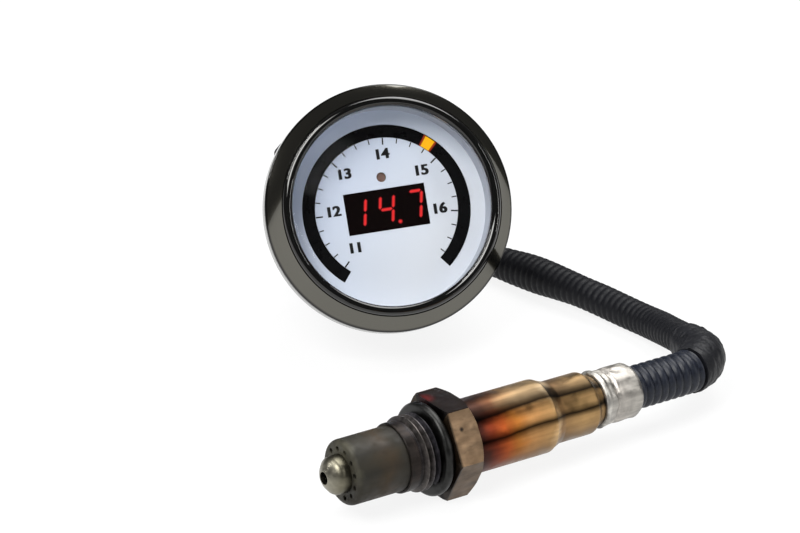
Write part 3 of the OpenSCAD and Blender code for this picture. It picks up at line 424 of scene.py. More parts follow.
def softened(source, name, body, finish, round_mm=0.0):
    shape = bmesh.new()
    shape.from_mesh(bpy.data.objects[source].data)
    bmesh.ops.remove_doubles(shape, verts=shape.verts, dist=solid_weld_mm * mm)
    bmesh.ops.dissolve_limit(shape, angle_limit=radians(flat_within), verts=shape.verts, edges=shape.edges)
    if round_mm:
        rims = [e for e in shape.edges
                if len(e.link_faces) == 2 and e.calc_face_angle(0) > radians(rounded_from)]
        bmesh.ops.bevel(shape, geom=rims, offset=round_mm * mm, segments=2, profile=0.5,
                        affect="EDGES", material=-1, clamp_overlap=True)
    piece = finished(shape, name, body, [source])
    piece.data.materials.append(finish)
    return piece


# %% [markdown]
# Round parts are turned, as on a lathe: half of the outline, in radius and height, is spun about the axis.

# %% Turn an outline about the axis
def turned(outline, steps=160):
    shape = bmesh.new()
    verts = [shape.verts.new((r, 0, z)) for r, z in outline]
    edges = [shape.edges.new(pair) for pair in zip(verts, verts[1:] + verts[:1])]
    bmesh.ops.spin(shape, geom=verts + edges, axis=(0, 0, 1), cent=(0, 0, 0), dvec=(0, 0, 0),
                   angle=2 * pi, steps=steps, use_merge=True, use_normal_flip=False, use_duplicate=False)
    return shape


def arc(cx, cz, r, start, end, count):
    angles = [radians(start + (end - start) * i / count) for i in range(count + 1)]
    return [(cx + r * cos(a), cz + r * sin(a)) for a in angles]


# %% [markdown]
# ## The bezel
#
# The bezel is one turned ring with two finishes under a thin clear coat. Its sloping band has a dark nickel
# look, warm grey and softly polished, and darker at the outer edge. The narrow lip round the glass is black
# and mirror smooth. The shader finds each by its distance from the gauge's axis, so all stay on one mesh.

# %% Bezel
bezel_r, bezel_bore_r, band_in_r, view_r = 30, 25.96, 26.6, 24
lip_under, bezel_h, lip_rise = 10.25, 11.9, 1
bead_r = (band_in_r - lip_rise / 5 - view_r) / 2
bezel_outline = ([(bezel_bore_r, 0), (bezel_r - 0.3, 0), (bezel_r - 0.08, 0.08), (bezel_r, 0.3)]
                 + arc(bezel_r - 0.6, 4.8, 0.6, 0, 60, 6) + [(band_in_r, bezel_h - lip_rise)]
                 + arc(view_r + bead_r, bezel_h - bead_r, bead_r, 0, 180, 24)
                 + [(view_r, lip_under), (bezel_bore_r, lip_under)])
bezel = finished(turned(bezel_outline, 240), "turned_bezel", "bezel", ["bezel"], gauge_place)

nickel = material("dark_nickel", screen(80, 78, 68), 0.18, 1.0, specular_tint=(0.3, 0.3, 0.28, 1),
                  specular_ior_level=0.8, coat_weight=0.6, coat_roughness=0.03, coat_ior=1.6)
spot = in_gauge(nickel)
flat_spot = node(nickel, "VectorMath", {0: spot, 1: (1, 1, 0)}, operation="MULTIPLY").outputs["Vector"]
radius = node(nickel, "VectorMath", {0: flat_spot}, operation="LENGTH").outputs["Value"]
on_band = between(nickel, radius, band_in_r - 0.12, band_in_r - 0.02)
on_side = between(nickel, radius, bezel_r - 0.6, bezel_r - 0.25)
front = blend(nickel, on_band, screen(4, 4, 4), screen(92, 90, 82))
plug_in(nickel, blend(nickel, on_side, front, screen(26, 25, 23)), "Base Color")
plug_in(nickel, on_band, "Metallic")
plug_in(nickel, between(nickel, on_band, 0, 1, 0.04, 0.17), "Roughness")
bezel.data.materials.append(nickel)
print("bezel turned from", len(bezel_outline), "points")

# %% [markdown]
# ## Glass, gasket and inner ring
#
# The glass is thin and flat, so a surface that is nearly all clear, with a little gloss, shows the dial as it
# is. The inner ring is coloured blue grey: a painted shade, which makes the soft grey rim round the dial.

# %% Lens, gasket and inner ring
glass = material("clear_glass", (0, 0, 0), 0.02, ior=1.45)
glass_share = 0.05
glass.node_tree.nodes["Principled BSDF"].inputs["Alpha"].default_value = glass_share
softened("lens", "lens_glass", "lens_carrier", glass)
rubber = grained("black_rubber", (0.012, 0.012, 0.013), 0.6, specular_ior_level=0.25)
softened("lens_gasket", "lens_seal", "lens_carrier", rubber)
# Painted shade: the inner ring's blue grey stands for the shade in the recess round the dial.
ring_shade = grained("ring_shade_grey", (0.34, 0.37, 0.43), 0.4, scale=0.4, spread=0.06, depth=0.005)
softened("inner_ring", "inner_ring_in_shade", "kit", ring_shade)

# %% [markdown]
# ## The dial
#
# The dial is a printed plate. Its white has a faint blue tint, and is painted darker and bluer towards the
# upper left: a painted shade. The ticks and numbers are printed in black: here they are thin raised shapes,
# because print made of geometry stays crisp at any distance.

# %% Dial plate
dial_white = material("dial_white", (0.86, 0.88, 0.95), 0.42)
dial_spot = in_gauge(dial_white)
# Painted shade: the white is darker and bluer towards the upper left, and lightest towards the lower right.
shade_way = (0.55, -0.5, 0)
slope = node(dial_white, "VectorMath", {0: dial_spot, 1: shade_way}, operation="DOT_PRODUCT").outputs["Value"]
dial_shade = ramp(dial_white, between(dial_white, slope, -16, 12),
            [(0, screen(200, 212, 234)), (1, screen(226, 231, 238)), (0.5, screen(217, 226, 240))])
plug_in(dial_white, dial_shade, "Base Color")
softened("dial", "dial_plate", "kit", dial_white)

# %% Ticks
dial_face = 1.5
print_t = 0.03
lamp_n = 24
lamp_step = 270 / (lamp_n - 1)
band_r1 = 17.4
band_r2 = 20.55
print_black = material("print_black", (0.01, 0.01, 0.012), 0.5)


ticks = bmesh.new()
for i in range(lamp_n):
    width, start = (0.36, band_r1 - 1.75) if i % 4 == 0 else (0.28, band_r1 - 1.25)
    end = band_r1 - 0.05
    bmesh.ops.create_grid(ticks, x_segments=1, y_segments=1, size=0.5,
                          matrix=Matrix.Rotation(radians(135 - i * lamp_step), 4, "Z")
                          @ Matrix.Translation((0, (start + end) / 2, dial_face + print_t))
                          @ Matrix.Diagonal((width, end - start, 1, 1)))
tick_marks = finished(ticks, "tick_marks", "kit", place=gauge_place)
tick_marks.data.materials.append(print_black)


# %% [markdown]
# Numbers are text objects turned into meshes. A small offset, and two copies a little to each side,
# make the plain typeface bold.

# %% Numbers
number_h = 2.4


def number(text, x, y):
    curve = bpy.data.curves.new("number", "FONT")
    curve.body = text
    curve.size = number_h / 0.7
    curve.offset = 0.035 * number_h
    curve.space_character = 1.02
    curve.align_x, curve.align_y = "CENTER", "CENTER"
    holder = bpy.data.objects.new("number", curve)
    scene.collection.objects.link(holder)
    mesh = bpy.data.meshes.new_from_object(holder.evaluated_get(bpy.context.evaluated_depsgraph_get()))
    bpy.data.objects.remove(holder)
    mesh.transform(Matrix.Translation((x, y, dial_face + print_t)) @ Matrix.Diagonal((1.08, 1, 1, 1)))
    return mesh


numbers = bmesh.new()
number_at = {11: (-9.05, -8.16), 12: (-13.0, 1.25), 13: (-8.9, 9.85), 14: (0.95, 13.3), 15: (9.8, 8.0),
             16: (12.7, -1.8)}
for value, (x, y) in number_at.items():
    for shift in (-0.13, 0, 0.13):
        mesh = number(str(value), x + shift, y)
        numbers.from_mesh(mesh)
        bpy.data.meshes.remove(mesh)
dial_numbers = finished(numbers, "dial_numbers", "kit", place=gauge_place)
dial_numbers.data.materials.append(print_black)
print("printed", lamp_n, "ticks and", len(number_at), "numbers")

# %% [markdown]
# ## Lamp band and display
#
# The band is smoked and nearly black. One lamp behind it is lit: its window glows amber, and its edges fade
# to a dark red where the light leaks under the mask. The display shows its lit bars through a dark filter,
# and the bars that are off can't be seen.

# %% Lamp band
smoke = grained("smoked_window", (0.004, 0.004, 0.0045), 0.3, scale=0.5, depth=0.003, specular_ior_level=0.15)
softened("lamp_window", "smoked_band", "kit", smoke)


def lit(name, colour):
    made = material(name, tuple(c / 10 for c in colour), 0.4)
    surface = made.node_tree.nodes["Principled BSDF"]
    surface.inputs["Emission Color"].default_value = (*colour, 1)
    surface.inputs["Emission Strength"].default_value = 1.0
    return made


amber = lit("lit_amber", screen(255, 186, 0))
glow_red = lit("glow_red", screen(150, 40, 0))
lit_lamp = 15
lit_turn = 135 - lit_lamp * lamp_step


def sector(r0, r1, start, end, z, steps=8):
    shape = bmesh.new()
    a = shape.verts.new((0, r0, z))
    b = shape.verts.new((0, r1, z))
    edge = shape.edges.new((a, b))
    shape.transform(Matrix.Rotation(radians(start), 4, "Z"))
    bmesh.ops.spin(shape, geom=[a, b, edge], axis=(0, 0, 1), cent=(0, 0, 0), dvec=(0, 0, 0),
                   angle=radians(end - start), steps=steps, use_merge=False, use_normal_flip=False,
                   use_duplicate=False)
    return shape


inner, outer = lamp_step / 2 * 0.62, lamp_step / 2 * 0.86
window = sector(band_r1 + 0.1, band_r2 - 0.3, lit_turn - inner, lit_turn + inner, dial_face + 0.04)
lit_window = finished(window, "lit_window", "kit", place=gauge_place)
lit_window.data.materials.append(amber)
for name, side in (("lit_edge_right", -1), ("lit_edge_left", 1)):
    rim = sector(band_r1 + 0.1, band_r2 - 0.2, lit_turn + side * inner, lit_turn + side * outer,
                 dial_face + 0.03)
    edge = finished(rim, name, "kit", place=gauge_place)
    edge.data.materials.append(glow_red)

# %% Display filter and lit bars
filter_black = material("filter_black", (0.003, 0.001, 0.001), 0.3, specular_ior_level=0.12)
softened("display_filter", "dark_filter", "kit", filter_black)
digit_h, digit_w, digit_bar = 7.6, 4.1, 0.85
digit_pitch = 6.9
slant = 10.5
bar_names = {"a": ((-1, 1), (1, 1)), "b": ((1, 0), (1, 1)), "c": ((1, -1), (1, 0)), "f": ((-1, 0), (-1, 1)),
             "g": ((-1, 0), (1, 0))}
shown = {-1: "bc", 0: "bcfg", 1: "abc"}


def bar(shape, a, b, z, width):
    way = (b - a).normalized()
    side = Vector((-way.y, way.x)) * width / 2
    room = 0.12 + (digit_bar - width) / 2
    ends = [a + way * room, b - way * room]
    inner = [ends[0] + way * width / 2, ends[1] - way * width / 2]
    outline = [ends[0], inner[0] - side, inner[1] - side, ends[1], inner[1] + side, inner[0] + side]
    shape.faces.new([shape.verts.new((p.x + p.y * tan(radians(slant)), p.y, z)) for p in outline])


x_mid, y_mid = (digit_w - digit_bar) / 2, (digit_h - digit_bar) / 2


def lit_digits(name, width, z, colour):
    shape = bmesh.new()
    for cell, letters in shown.items():
        for letter in letters:
            (x0, y0), (x1, y1) = bar_names[letter]
            shift = cell * digit_pitch
            bar(shape, Vector((x0 * x_mid + shift, y0 * y_mid)), Vector((x1 * x_mid + shift, y1 * y_mid)), z,
                width)
    dot = Matrix.Translation((digit_pitch / 2 - y_mid * tan(radians(slant)), -y_mid, z))
    bmesh.ops.create_circle(shape, cap_ends=True, segments=24, radius=0.55 * width / digit_bar, matrix=dot)
    piece = finished(shape, name, "kit", place=gauge_place)
    piece.data.materials.append(lit(name, colour))


lit_digits("lit_bars", digit_bar, dial_face + 0.02, screen(150, 12, 20))
lit_digits("lit_cores", digit_bar * 0.6, dial_face + 0.03, screen(232, 34, 34))
softened("digit_bars", "bars_off", "kit", filter_black)
softened("display_module", "display_body", "kit", filter_black)
print("lit", sum(len(v) for v in shown.values()), "bars")

# %% [markdown]
# ## Inside the gauge
#
# These parts are closed in. They keep their solids and get a plain, fitting surface.

# %% Light sensor, baffle, boards and their parts
eye = grained("eye_brown", screen(128, 100, 88), 0.3, scale=2)
softened("light_sensor", "round_eye", "kit", eye, 0.05)
white_plastic = grained("white_plastic", (0.75, 0.75, 0.73), 0.5)
softened("lamp_baffle", "baffle_ring", "kit", white_plastic)
softened("lamps", "lamp_row", "kit", material("lamp_cream", (0.75, 0.65, 0.35), 0.35))
board = grained("board_green", (0.02, 0.12, 0.05), 0.35, scale=0.8)
softened("main_board", "board_front", "kit", board)
softened("power_board", "board_rear", "kit", board)
chip = grained("chip_black", (0.02, 0.02, 0.022), 0.45)
softened("main_chips", "chips", "kit", chip, 0.1)
softened("board_link", "pin_header", "kit", chip, 0.1)
brass = grained("plain_brass", (0.6, 0.42, 0.18), 0.3, 1.0)
softened("board_spacers", "hex_spacers", "kit", brass, 0.1)
softened("power_parts", "cans_and_choke", "kit", grained("can_grey", (0.25, 0.25, 0.27), 0.35, 0.6),
         0.15)

# %% [markdown]
# ## Housing and rear
#
# The housing is moulded in black plastic with a fine spark-eroded grain. Its rear carries the cover, two
# inlets, the studs, and the zinc-plated bracket that clamps the gauge in its panel.

# %% Housing, cover, screws and inlets
black_plastic = grained("moulded_black", (0.02, 0.02, 0.021), 0.5, scale=6, depth=0.02, spread=0.1)
softened("housing", "moulded_housing", "kit", black_plastic)
softened("rear_cover", "moulded_cover", "kit", black_plastic)
steel = grained("plated_steel", (0.55, 0.55, 0.56), 0.28, 1.0, scale=0.7, depth=0.004, spread=0.08)
softened("cover_screws", "screws", "kit", steel, 0.2)
nylon = grained("natural_nylon", (0.72, 0.71, 0.66), 0.45)
softened("power_inlet", "white_inlet", "kit", nylon, 0.15)
gold = material("gold_plate", (0.8, 0.6, 0.28), 0.22, 1.0)
softened("power_pins", "power_contacts", "kit", gold)
softened("sensor_inlet", "black_inlet", "kit", black_plastic, 0.15)
softened("sensor_pins", "sensor_contacts", "kit", gold)

# %% Studs, bracket, washers and thumb nuts
softened("studs", "plated_studs", "kit", steel)
softened("bracket", "clamp_bracket", "bracket", steel, 0.3)
for side in ("left", "right"):
    softened("washer_" + side, "flat_washer_" + side, "washer_" + side, steel, 0.12)
    softened("thumb_nut_" + side, "knurled_nut_" + side, "nut_" + side, steel)

# %% Plug and latch
softened("sensor_plug", "plug_body", "kit", black_plastic, 0.2)
softened("plug_latch", "latch_lever", "latch", black_plastic, 0.15)

# %% [markdown]
# ## The sensor
#
# The sensor is turned and drawn steel that has seen heat. Each section has its own colours, and along the axis
# they change from brown olive at the tip to gold at the rear of the sleeve. One shader node reads the distance
# from the tip, and a colour ramp turns it into the heat tint. The sleeve also has painted reflections: bright
# and dark bands along its length, fixed at angles round the axis, and the tube and the cap get a quarter of
# their strength. Each pair in the table of bands gives an angle round the axis, counted from straight up
# towards the camera, and the factor by which the colour is painted brighter or darker there. Random lengthwise
# streaks on every section are partly real streaks and partly painted reflections. The top of the sleeve has a
# ramp of its own, as it is less red.

# %% Heat tint along the axis
def turn_angle(made, where):
    apart = node(made, "SeparateXYZ", {"Vector": where})
    across = node(made, "Math", {0: apart.outputs["Y"], 1: -1.0}, operation="MULTIPLY").outputs["Value"]
    up = node(made, "Math", {0: apart.outputs["X"], 1: -1.0}, operation="MULTIPLY").outputs["Value"]
    angle = node(made, "Math", {0: across, 1: up}, operation="ARCTAN2").outputs["Value"]
    return node(made, "Math", {0: angle, 1: 180 / pi}, operation="MULTIPLY").outputs["Value"]


def multiplied(made, a, b):
    return node(made, "Math", {0: a, 1: b}, operation="MULTIPLY").outputs["Value"]


def grey(made, level):
    return node(made, "CombineColor", {"Red": level, "Green": level, "Blue": level}).outputs["Color"]


# Painted reflections: for each angle round the axis a factor on the colour, above 1 for a painted highlight and
# below 1 for a painted dark reflection.
painted_reflection_bands = [(-60, 1), (-5, 1.3), (9, 1.3), (18, 0.5), (24, 0.28), (30, 0.12), (37, 0.03), (42, 0.7), (49, 1.25),
         (56, 1.3), (62, 1.05), (68, 0.55), (72.5, 0.05), (77, 0.5), (82, 1), (90, 1.1), (101, 1), (118, 0.65),
         (150, 0.45)]
reflection_top = 1.4
reflection_twist = 6
top_ends, side_starts = 28, 42


def tinted(name, start, end, stops, roughness, streak_and_sheen=0.25, metallic=1.0, mottle=0.5, painted_reflection_share=0.0, wander_mm=2,
           top=()):
    made = material(name, screen(*stops[0][1]), roughness, metallic)
    where = in_sensor(made)
    along = node(made, "SeparateXYZ", {"Vector": where}).outputs["Z"]
    wander = cloud(made, where, 0.12, 4, (1, 1, 0.5))
    shifted = node(made, "Math", {0: along, 1: between(made, wander, 0.3, 0.7, -wander_mm, wander_mm)},
                   operation="ADD").outputs["Value"]
    tints = []
    for row in (stops, top or stops):
        places = [((at - start) / (end - start), screen(*colour)) for at, colour in row]
        tints.append(ramp(made, between(made, shifted, start, end), [places[0], places[-1]] + places[1:-1]))
    on_side = between(made, turn_angle(made, where), top_ends, side_starts)
    colour = blend(made, on_side, tints[1], tints[0])
    # Random lengthwise streaks: partly real streaks, partly painted reflections.
    streaks_and_sheen = cloud(made, where, 0.9, 4, (1, 1, 0.08))
    patches = cloud(made, where, 0.35, 5)
    shade = between(made, streaks_and_sheen, 0.3, 0.7, 1 - streak_and_sheen, 1 + streak_and_sheen * 0.4)
    dull = between(made, patches, 0.35, 0.7, 1 - mottle * 0.5, 1.05)
    both = multiplied(made, shade, dull)
    # Painted reflections: the colour is made brighter or darker by its angle round the axis.
    if painted_reflection_share:
        turn = node(made, "Math", {0: turn_angle(made, where), 1: between(made, wander, 0.3, 0.7, -3, 3)},
                    operation="ADD").outputs["Value"]
        turn = node(made, "Math", {0: turn, 1: between(made, along, start, (start + end) / 2, -reflection_twist, 0)},
                    operation="ADD").outputs["Value"]
        low, high = painted_reflection_bands[0][0], painted_reflection_bands[-1][0]
        reflection_marks = [((at - low) / (high - low), ((1 - painted_reflection_share + painted_reflection_share * level) / reflection_top,) * 3)
                 for at, level in painted_reflection_bands]
        reflection_lines = ramp(made, between(made, turn, low, high), [reflection_marks[0], reflection_marks[-1]] + reflection_marks[1:-1])
        both = multiplied(made, both, multiplied(made, reflection_lines, reflection_top))
    plug_in(made, blend(made, 1.0, colour, grey(made, both), "MULTIPLY"), "Base Color")
    plug_in(made, between(made, patches, 0.3, 0.7, roughness * 0.75, roughness * 1.3), "Roughness")
    bumps(made, patches, 0.02, 0.25)
    return made


tube_olive = tinted("tube_olive", 4, 20, [
    (4, (68, 65, 52)), (5.6, (43, 40, 31)), (9, (46, 41, 31)), (13, (58, 46, 30)), (16, (44, 40, 30)),
    (20, (30, 27, 23))], 0.6, 0.15, 0.4, painted_reflection_share=0.25)
softened("protection_tube", "outer_tube", "kit", tube_olive)
cone_bright = tinted("cone_bright", 0, 6, [(0, (156, 152, 138)), (2, (122, 118, 102)), (6, (58, 54, 42))], 0.36,
                     0.15, mottle=0.5, wander_mm=0.3)
softened("inner_tube", "inner_cone", "kit", cone_bright)
ceramic = grained("white_ceramic", (0.8, 0.79, 0.74), 0.6, where=in_sensor)
softened("sensing_element", "ceramic_strip", "kit", ceramic)
softened("ceramic_bush", "ceramic_insulator", "kit", ceramic)

# %% [markdown]
# The shell's thread is a real helix here. A ridge with two flanks is spun about the axis while it moves along
# by one pitch for each turn, which is the same operator as for turning with a shift added. The ridge stands on
# a turned core. The hexagon is cut from the solid, and all three make one mesh. Each of its flats has a painted
# light or shade of its own, darkest on top, and two round marks lie on them: a dark dot and a dull red patch.

# %% Shell with its thread
def joined(*shapes):
    whole = bmesh.new()
    for shape in shapes:
        mesh = bpy.data.meshes.new("part")
        shape.to_mesh(mesh)
        shape.free()
        whole.from_mesh(mesh)
        bpy.data.meshes.remove(mesh)
    return whole


thread_start, thread_end, thread_pitch = 21.3, 25.6, 1.5
thread_root, thread_crest = 7.85, 8.98
core = turned([(7.76, 18.2), (8.0, 18.2), (8.2, 18.4), (8.2, 20.7), (7.9, 20.95), (7.9, 26), (8.05, 26.1),
               (8.05, 28.65), (6.9, 28.65), (6.9, 20.8), (7.76, 20.8)])
ridge = bmesh.new()
profile = [(thread_root, -0.7), (thread_crest, -0.13), (thread_crest, 0.13), (thread_root, 0.7)]
corners = [ridge.verts.new((r, 0, thread_start + z)) for r, z in profile]
rims = [ridge.edges.new(pair) for pair in zip(corners, corners[1:] + corners[:1])]
turn_steps = 72
steps = round(turn_steps * (thread_end - thread_start) / thread_pitch)
bmesh.ops.spin(ridge, geom=corners + rims, axis=(0, 0, 1), cent=(0, 0, 0),
               dvec=(0, 0, thread_pitch / turn_steps), angle=2 * pi * steps / turn_steps, steps=steps,
               use_merge=False, use_normal_flip=False, use_duplicate=False)
bmesh.ops.holes_fill(ridge, edges=[e for e in ridge.edges if e.is_boundary], sides=4)
print("thread from", thread_start, "to", round(max(v.co.z for v in ridge.verts), 2), "mm")
hexagon = bmesh.new()
hexagon.from_mesh(bpy.data.objects["sensor_shell"].data)
hexagon.transform(sensor_place.inverted())
bmesh.ops.remove_doubles(hexagon, verts=hexagon.verts, dist=solid_weld_mm)
bmesh.ops.bisect_plane(hexagon, geom=hexagon.verts[:] + hexagon.edges[:] + hexagon.faces[:],
                       plane_co=(0, 0, hex_front - 0.1), plane_no=(0, 0, 1), clear_inner=True)
shell_piece = finished(joined(core, ridge, hexagon), "threaded_shell", "kit", ["sensor_shell"], sensor_place,
                       sharp=12)
shell_dark = tinted("shell_dark", 18, 36, [(18, (44, 38, 34)), (20.5, (52, 44, 40)), (21, (46, 42, 44)),
                                           (22.6, (104, 98, 94)), (25, (66, 64, 70)), (26, (40, 36, 36)),
                                           (36, (70, 56, 46))], 0.42, 0.5, 0.8, mottle=1.2, wander_mm=0.6)
spot = in_sensor(shell_dark)
height = node(shell_dark, "SeparateXYZ", {"Vector": spot}).outputs["Z"]
on_hex = between(shell_dark, height, hex_front - 0.05, hex_front)
# Painted light and shade: one colour for each flat, by its angle round the axis, darkest on the top flat.
flat_light_and_marks = ramp(shell_dark, between(shell_dark, turn_angle(shell_dark, spot), -180, 180), [
    (0, screen(90, 76, 60)), (1, screen(60, 50, 42)), (0.3, screen(110, 90, 70)), (0.4167, screen(32, 23, 20)),
    (0.5833, screen(124, 101, 77)), (0.75, screen(96, 80, 64)), (0.9167, screen(60, 50, 42))], "CONSTANT")
smears = between(shell_dark, cloud(shell_dark, spot, 0.5, 5, (1, 1, 0.4)), 0.3, 0.7, 0.55, 1.2)
# Near the hex's front face the flats are made darker, down to a fifth.
smears = multiplied(shell_dark, smears, between(shell_dark, height, hex_front + 0.1, hex_front + 0.6, 0.2, 1))
for mark, reach, colour in [((-7.1, -8.6, 31.3), 0.7, (38, 30, 24)), ((-11.0, 2.8, 29.1), 2.6, (104, 22, 18))]:
    away_by = node(shell_dark, "VectorMath", {0: spot, 1: mark}, operation="DISTANCE").outputs["Value"]
    flat_light_and_marks = blend(shell_dark, between(shell_dark, away_by, 0.3 * reach, reach), screen(*colour), flat_light_and_marks)
base = shell_dark.node_tree.nodes["Principled BSDF"].inputs["Base Color"]
before_hex = base.links[0].from_socket
smeared = blend(shell_dark, 1.0, flat_light_and_marks, grey(shell_dark, smears), "MULTIPLY")
plug_in(shell_dark, blend(shell_dark, on_hex, before_hex, smeared), "Base Color")
shell_piece.data.materials.append(shell_dark)

# %% Gasket and sleeve
gasket_grey = grained("gasket_grey", screen(50, 50, 49), 0.4, 1.0, where=in_sensor, scale=0.5, spread=0.35)
softened("crush_gasket", "folded_gasket", "kit", gasket_grey)
# Painted highlight and shade at the sleeve's step, in both ramps: the bright stop at 59 mm paints a highlight
# on its shoulder, and the dark stop at 60.5 mm paints shade at its foot.
sleeve_tint = tinted("sleeve_tint", 35, 74, [
    (35, (44, 28, 26)), (38, (62, 34, 28)), (40.5, (112, 48, 29)), (43.5, (158, 76, 36)), (47, (168, 106, 48)),
    (51, (178, 130, 80)), (57.5, (178, 140, 92)), (59, (215, 180, 132)), (60.5, (140, 108, 72)),
    (66, (172, 138, 92)), (73, (160, 130, 90)), (74, (50, 42, 34))], 0.38, 0.2, painted_reflection_share=1.0, mottle=0.35, top=[
    (35, (36, 24, 21)), (40, (62, 38, 28)), (43.5, (100, 66, 45)), (47, (150, 118, 84)), (51, (168, 140, 104)),
    (57.5, (172, 146, 110)), (59, (212, 186, 148)), (60.5, (136, 108, 78)), (66, (172, 142, 102)),
    (73, (160, 134, 98)), (74, (50, 42, 34))])
softened("sensor_sleeve", "stepped_sleeve", "kit", sleeve_tint)

# %% [markdown]
# The crimped cap is hammered rather than turned clean. Its outline is spun in small steps, and a smooth
# noise then pushes every point of the outside: outwards by a tenth of a millimetre at most, inwards by more.

# %% Cap and grommet
cap_r, cap_start, cap_end, cap_wall = 6.5, 73.6, 84.5, 0.6
lip = [(cap_r + 0.35 * sin(pi * i / 8), cap_start + 1.6 * i / 8) for i in range(9)]
side = [(cap_r - 0.4 * (cos(pi * t / 1.5) ** 2 if abs(t) < 0.75 else 0), cap_start + 3.6 + t)
        for t in [-1.6 + 0.25 * i for i in range(27)]]
cap_outline = ([(cap_r - cap_wall, cap_start)] + lip + side + arc(cap_r - 1.3, cap_end - 1.3, 1.3, 0, 70, 8)
               + [(5.5, cap_end), (5.5, cap_end - cap_wall), (cap_r - cap_wall - 0.4, cap_end - 1.3)])
cap = turned(cap_outline, 120)
for v in cap.verts:
    if v.co.xy.length > cap_r - 0.5:
        out = Vector((v.co.x, v.co.y, 0)).normalized()
        dent = noise.noise(v.co * 0.4) * 0.32 + noise.noise(v.co * 1.1) * 0.05
        v.co += out * min(dent, 0.1)
        v.co.z += noise.noise(out * 2.2) * 0.3 * min(1, v.co.z - cap_start) * min(1, cap_end - v.co.z)
cap_piece = finished(cap, "crimped_cap", "kit", ["crimp_cap"], sensor_place, sharp=60)
cap_silver = tinted("cap_silver", 73, 85, [
    (73, (120, 116, 110)), (74.2, (226, 222, 214)), (79, (206, 200, 192)), (85, (196, 192, 184))], 0.42, 0.3,
    mottle=0.8, painted_reflection_share=0.25)
cap_piece.data.materials.append(cap_silver)
softened("grommet", "grommet_bush", "kit", rubber)

# %% [markdown]
# ## Boot and tape
#
# Boot and tape are swept along one path in the sensor's frame: straight along the axis, round the bend, and
# on over the start of the loom. The boot's radius swings from rib to rib. The tape's radius rises slowly
# along each turn of the winding and drops at its edge, and a little noise adds wrinkles.

# %% Path through the bend
boot_start = 83.2
tape_tail = 6.5
tilt = Matrix.Rotation(radians(-bend_tilt), 4, "Z")
away = Vector((1, 0, 0))
bend_l = bend_r * radians(bend_turn)


def on_bend(length):
    if length < 0:
        return Vector((0, 0, bend_start + length))
    angle = min(length, bend_l) / bend_r
    spot = Vector((0, bend_r * (1 - cos(angle)), bend_start + bend_r * sin(angle)))
    ahead = Vector((0, sin(angle), cos(angle))) * max(length - bend_l, 0)
    return tilt @ (spot + ahead)


# %% Boot
boot_r, rib_pitch, rib_depth, core_r = 5.2, 2.1, 0.75, 4.4
plain_l, ribs_end = 1.0, 4.2


def boot_radius(length):
    from_cap = length + bend_start - cap_end
    if length > ribs_end:
        return core_r
    if from_cap < plain_l:
        return boot_r
    return boot_r - rib_depth * (1 - abs(cos(pi * (from_cap - plain_l) / rib_pitch)) ** 0.6)


boot_lengths = [boot_start - bend_start + 0.15 * i for i in range(128)]
boot_lengths += [5 + bend_l / 12 * i for i in range(1, 9)] + [bend_l]
boot_path = [on_bend(length) for length in boot_lengths]
boot = finished(tube(boot_path, [boot_radius(length) for length in boot_lengths], 64, top=away),
                "ribbed_boot", "kit", ["boot"], sensor_place, sharp=50)
boot_rubber = grained("boot_rubber", screen(22, 26, 36), 0.4, where=in_sensor, scale=1.2, depth=0.02,
                      spread=0.3, specular_ior_level=0.3)
boot.data.materials.append(boot_rubber)
print("boot swept through", len(boot_path), "rings")

# %% Tape
tape_start = 4.6
turn_width = 3.1
tape_step = 0.14
tape_end_l, tape_end_r = 0.7, 4.2
layer_t, layer_edge = 0.42, 0.06
tape_steps = int((bend_l + tape_tail - tape_start) / tape_step)
tape_lengths = [tape_start + tape_step * i for i in range(tape_steps + 1)]
tape_path = [on_bend(length) for length in tape_lengths]


def tape_radius(length):
    after = length - bend_l
    if after > tape_tail - tape_end_l:
        return tape_end_r
    stops = [(-30, 5.55), (-9, 5.5), (-4, 5.2), (0, 4.95), (tape_tail, 4.5)]
    for (a, low), (b, high) in zip(stops, stops[1:]):
        if after <= b:
            return low + (high - low) * (after - a) / (b - a)
    return stops[-1][1]


def winding(i, angle):
    length = tape_lengths[i]
    share = (length / turn_width + angle / (2 * pi)) % 1
    spot = Vector((cos(angle), sin(angle), length * 0.35)) * 2
    edge = min(share / layer_edge, 1)
    return (layer_t * share * edge - layer_t / 2
            + noise.noise(spot) * 0.2 + noise.noise(spot * 2.7) * 0.1)


wrap = finished(tube(tape_path, [tape_radius(length) for length in tape_lengths], 72, winding, away),
                "wound_tape", "kit", ["tape_wrap"], sensor_place, sharp=50)
tape = grained("black_tape", screen(13, 14, 19), 0.5, where=in_sensor, scale=0.8, depth=0.12, spread=0.35,
               stretch=(1, 1, 1.4), specular_ior_level=0.3)
wrap.data.materials.append(tape)

# %% Loom, lead and ties
loom_black = grained("loom_black", screen(9, 10, 15), 0.55, scale=1.5, depth=0.02, specular_ior_level=0.22)
loom.data.materials.append(loom_black)
softened("loom_end", "tapered_end", "kit", rubber)
jacket = grained("lead_jacket", screen(36, 36, 40), 0.45, scale=2, depth=0.01)
lead.data.materials.append(jacket)
softened("coil_ties", "lead_ties", "kit", black_plastic, 0.15)

# %% [markdown]
# ## Floor and light
#
# The floor is pale and the light is soft, as for a catalogue: one large lamp at the upper left, one above,
# and two narrow strips that draw thin lines on the bezel. The world is dim, and turns white where the camera
# looks at it. The floor turns nearly white for the camera and in reflections, and keeps its shadows.

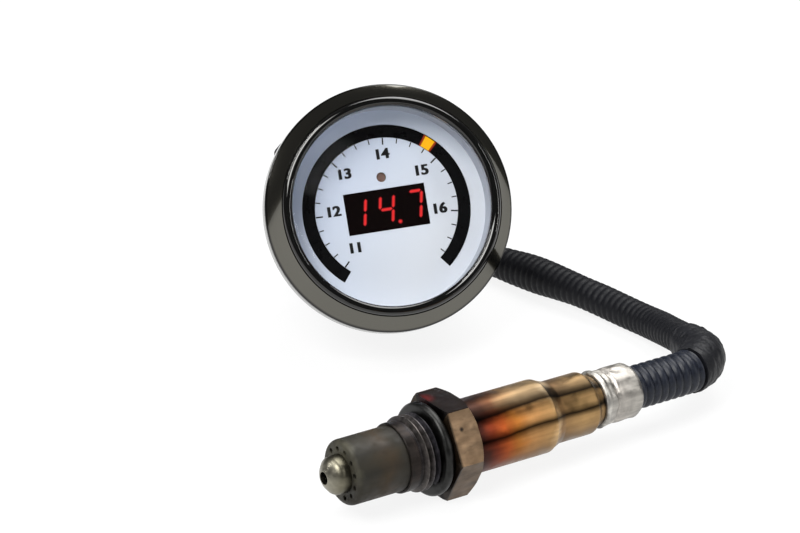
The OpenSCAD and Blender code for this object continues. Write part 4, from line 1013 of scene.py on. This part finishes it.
# %% Floor
floor_shape = bmesh.new()
bmesh.ops.create_grid(floor_shape, x_segments=1, y_segments=1, size=3)
floor_mesh = bpy.data.meshes.new("floor")
floor_shape.to_mesh(floor_mesh)
floor_shape.free()
floor_object = bpy.data.objects.new("floor", floor_mesh)
scene.collection.objects.link(floor_object)
floor_white = material("pale_floor", (0.93, 0.93, 0.93), 0.9)
glow_share = 0.88
path_kind = node(floor_white, "LightPath")
seen = node(floor_white, "Math", {0: path_kind.outputs["Is Camera Ray"], 1: path_kind.outputs["Is Glossy Ray"]},
            operation="MAXIMUM").outputs["Value"]
seen = node(floor_white, "Math", {0: seen, 1: path_kind.outputs["Is Transmission Ray"]},
            operation="MAXIMUM").outputs["Value"]
glow = node(floor_white, "Emission", {"Color": (1, 1, 1, 1), "Strength": 1.0}).outputs["Emission"]
matt = floor_white.node_tree.nodes["Principled BSDF"].outputs["BSDF"]
mixed = node(floor_white, "MixShader", {"Fac": multiplied(floor_white, seen, glow_share), 1: matt, 2: glow})
floor_white.node_tree.links.new(mixed.outputs["Shader"],
                                floor_white.node_tree.nodes["Material Output"].inputs["Surface"])
floor_object.data.materials.append(floor_white)

# %% World and lamps
world = bpy.data.worlds.new("studio")
world.use_nodes = True
backdrop = world.node_tree.nodes["Background"]
backdrop.inputs["Color"].default_value = (1, 1, 1, 1)
world_path = world.node_tree.nodes.new("ShaderNodeLightPath")
level = world.node_tree.nodes.new("ShaderNodeMapRange")
world_fill = 0.1
level.inputs["To Min"].default_value = world_fill
level.inputs["To Max"].default_value = 1.0
world.node_tree.links.new(world_path.outputs["Is Camera Ray"], level.inputs["Value"])
world.node_tree.links.new(level.outputs["Result"], backdrop.inputs["Strength"])
scene.world = world


def lamp(name, place, aim, size, power):
    data = bpy.data.lights.new(name, "AREA")
    data.shape = "RECTANGLE"
    data.size, data.size_y = size
    data.energy = power
    holder = bpy.data.objects.new(name, data)
    holder.location = place
    holder.rotation_euler = (Vector(aim) - Vector(place)).to_track_quat("-Z", "Y").to_euler()
    scene.collection.objects.link(holder)


lamp("key", (-0.5, -0.5, 0.9), (0, 0, 0.02), (0.6, 0.6), 12.5)
lamp("top", (0.3, 0.3, 1.0), (0, 0, 0.02), (0.8, 0.8), 12)
lamp("strip_left", (-0.7, 0.1, 0.7), (0, 0, 0.03), (0.03, 0.7), 3.2)
lamp("strip_right", (0.75, -0.5, 0.45), (0, 0, 0.03), (0.03, 0.6), 1.6)
scene.view_settings.view_transform = "Standard"
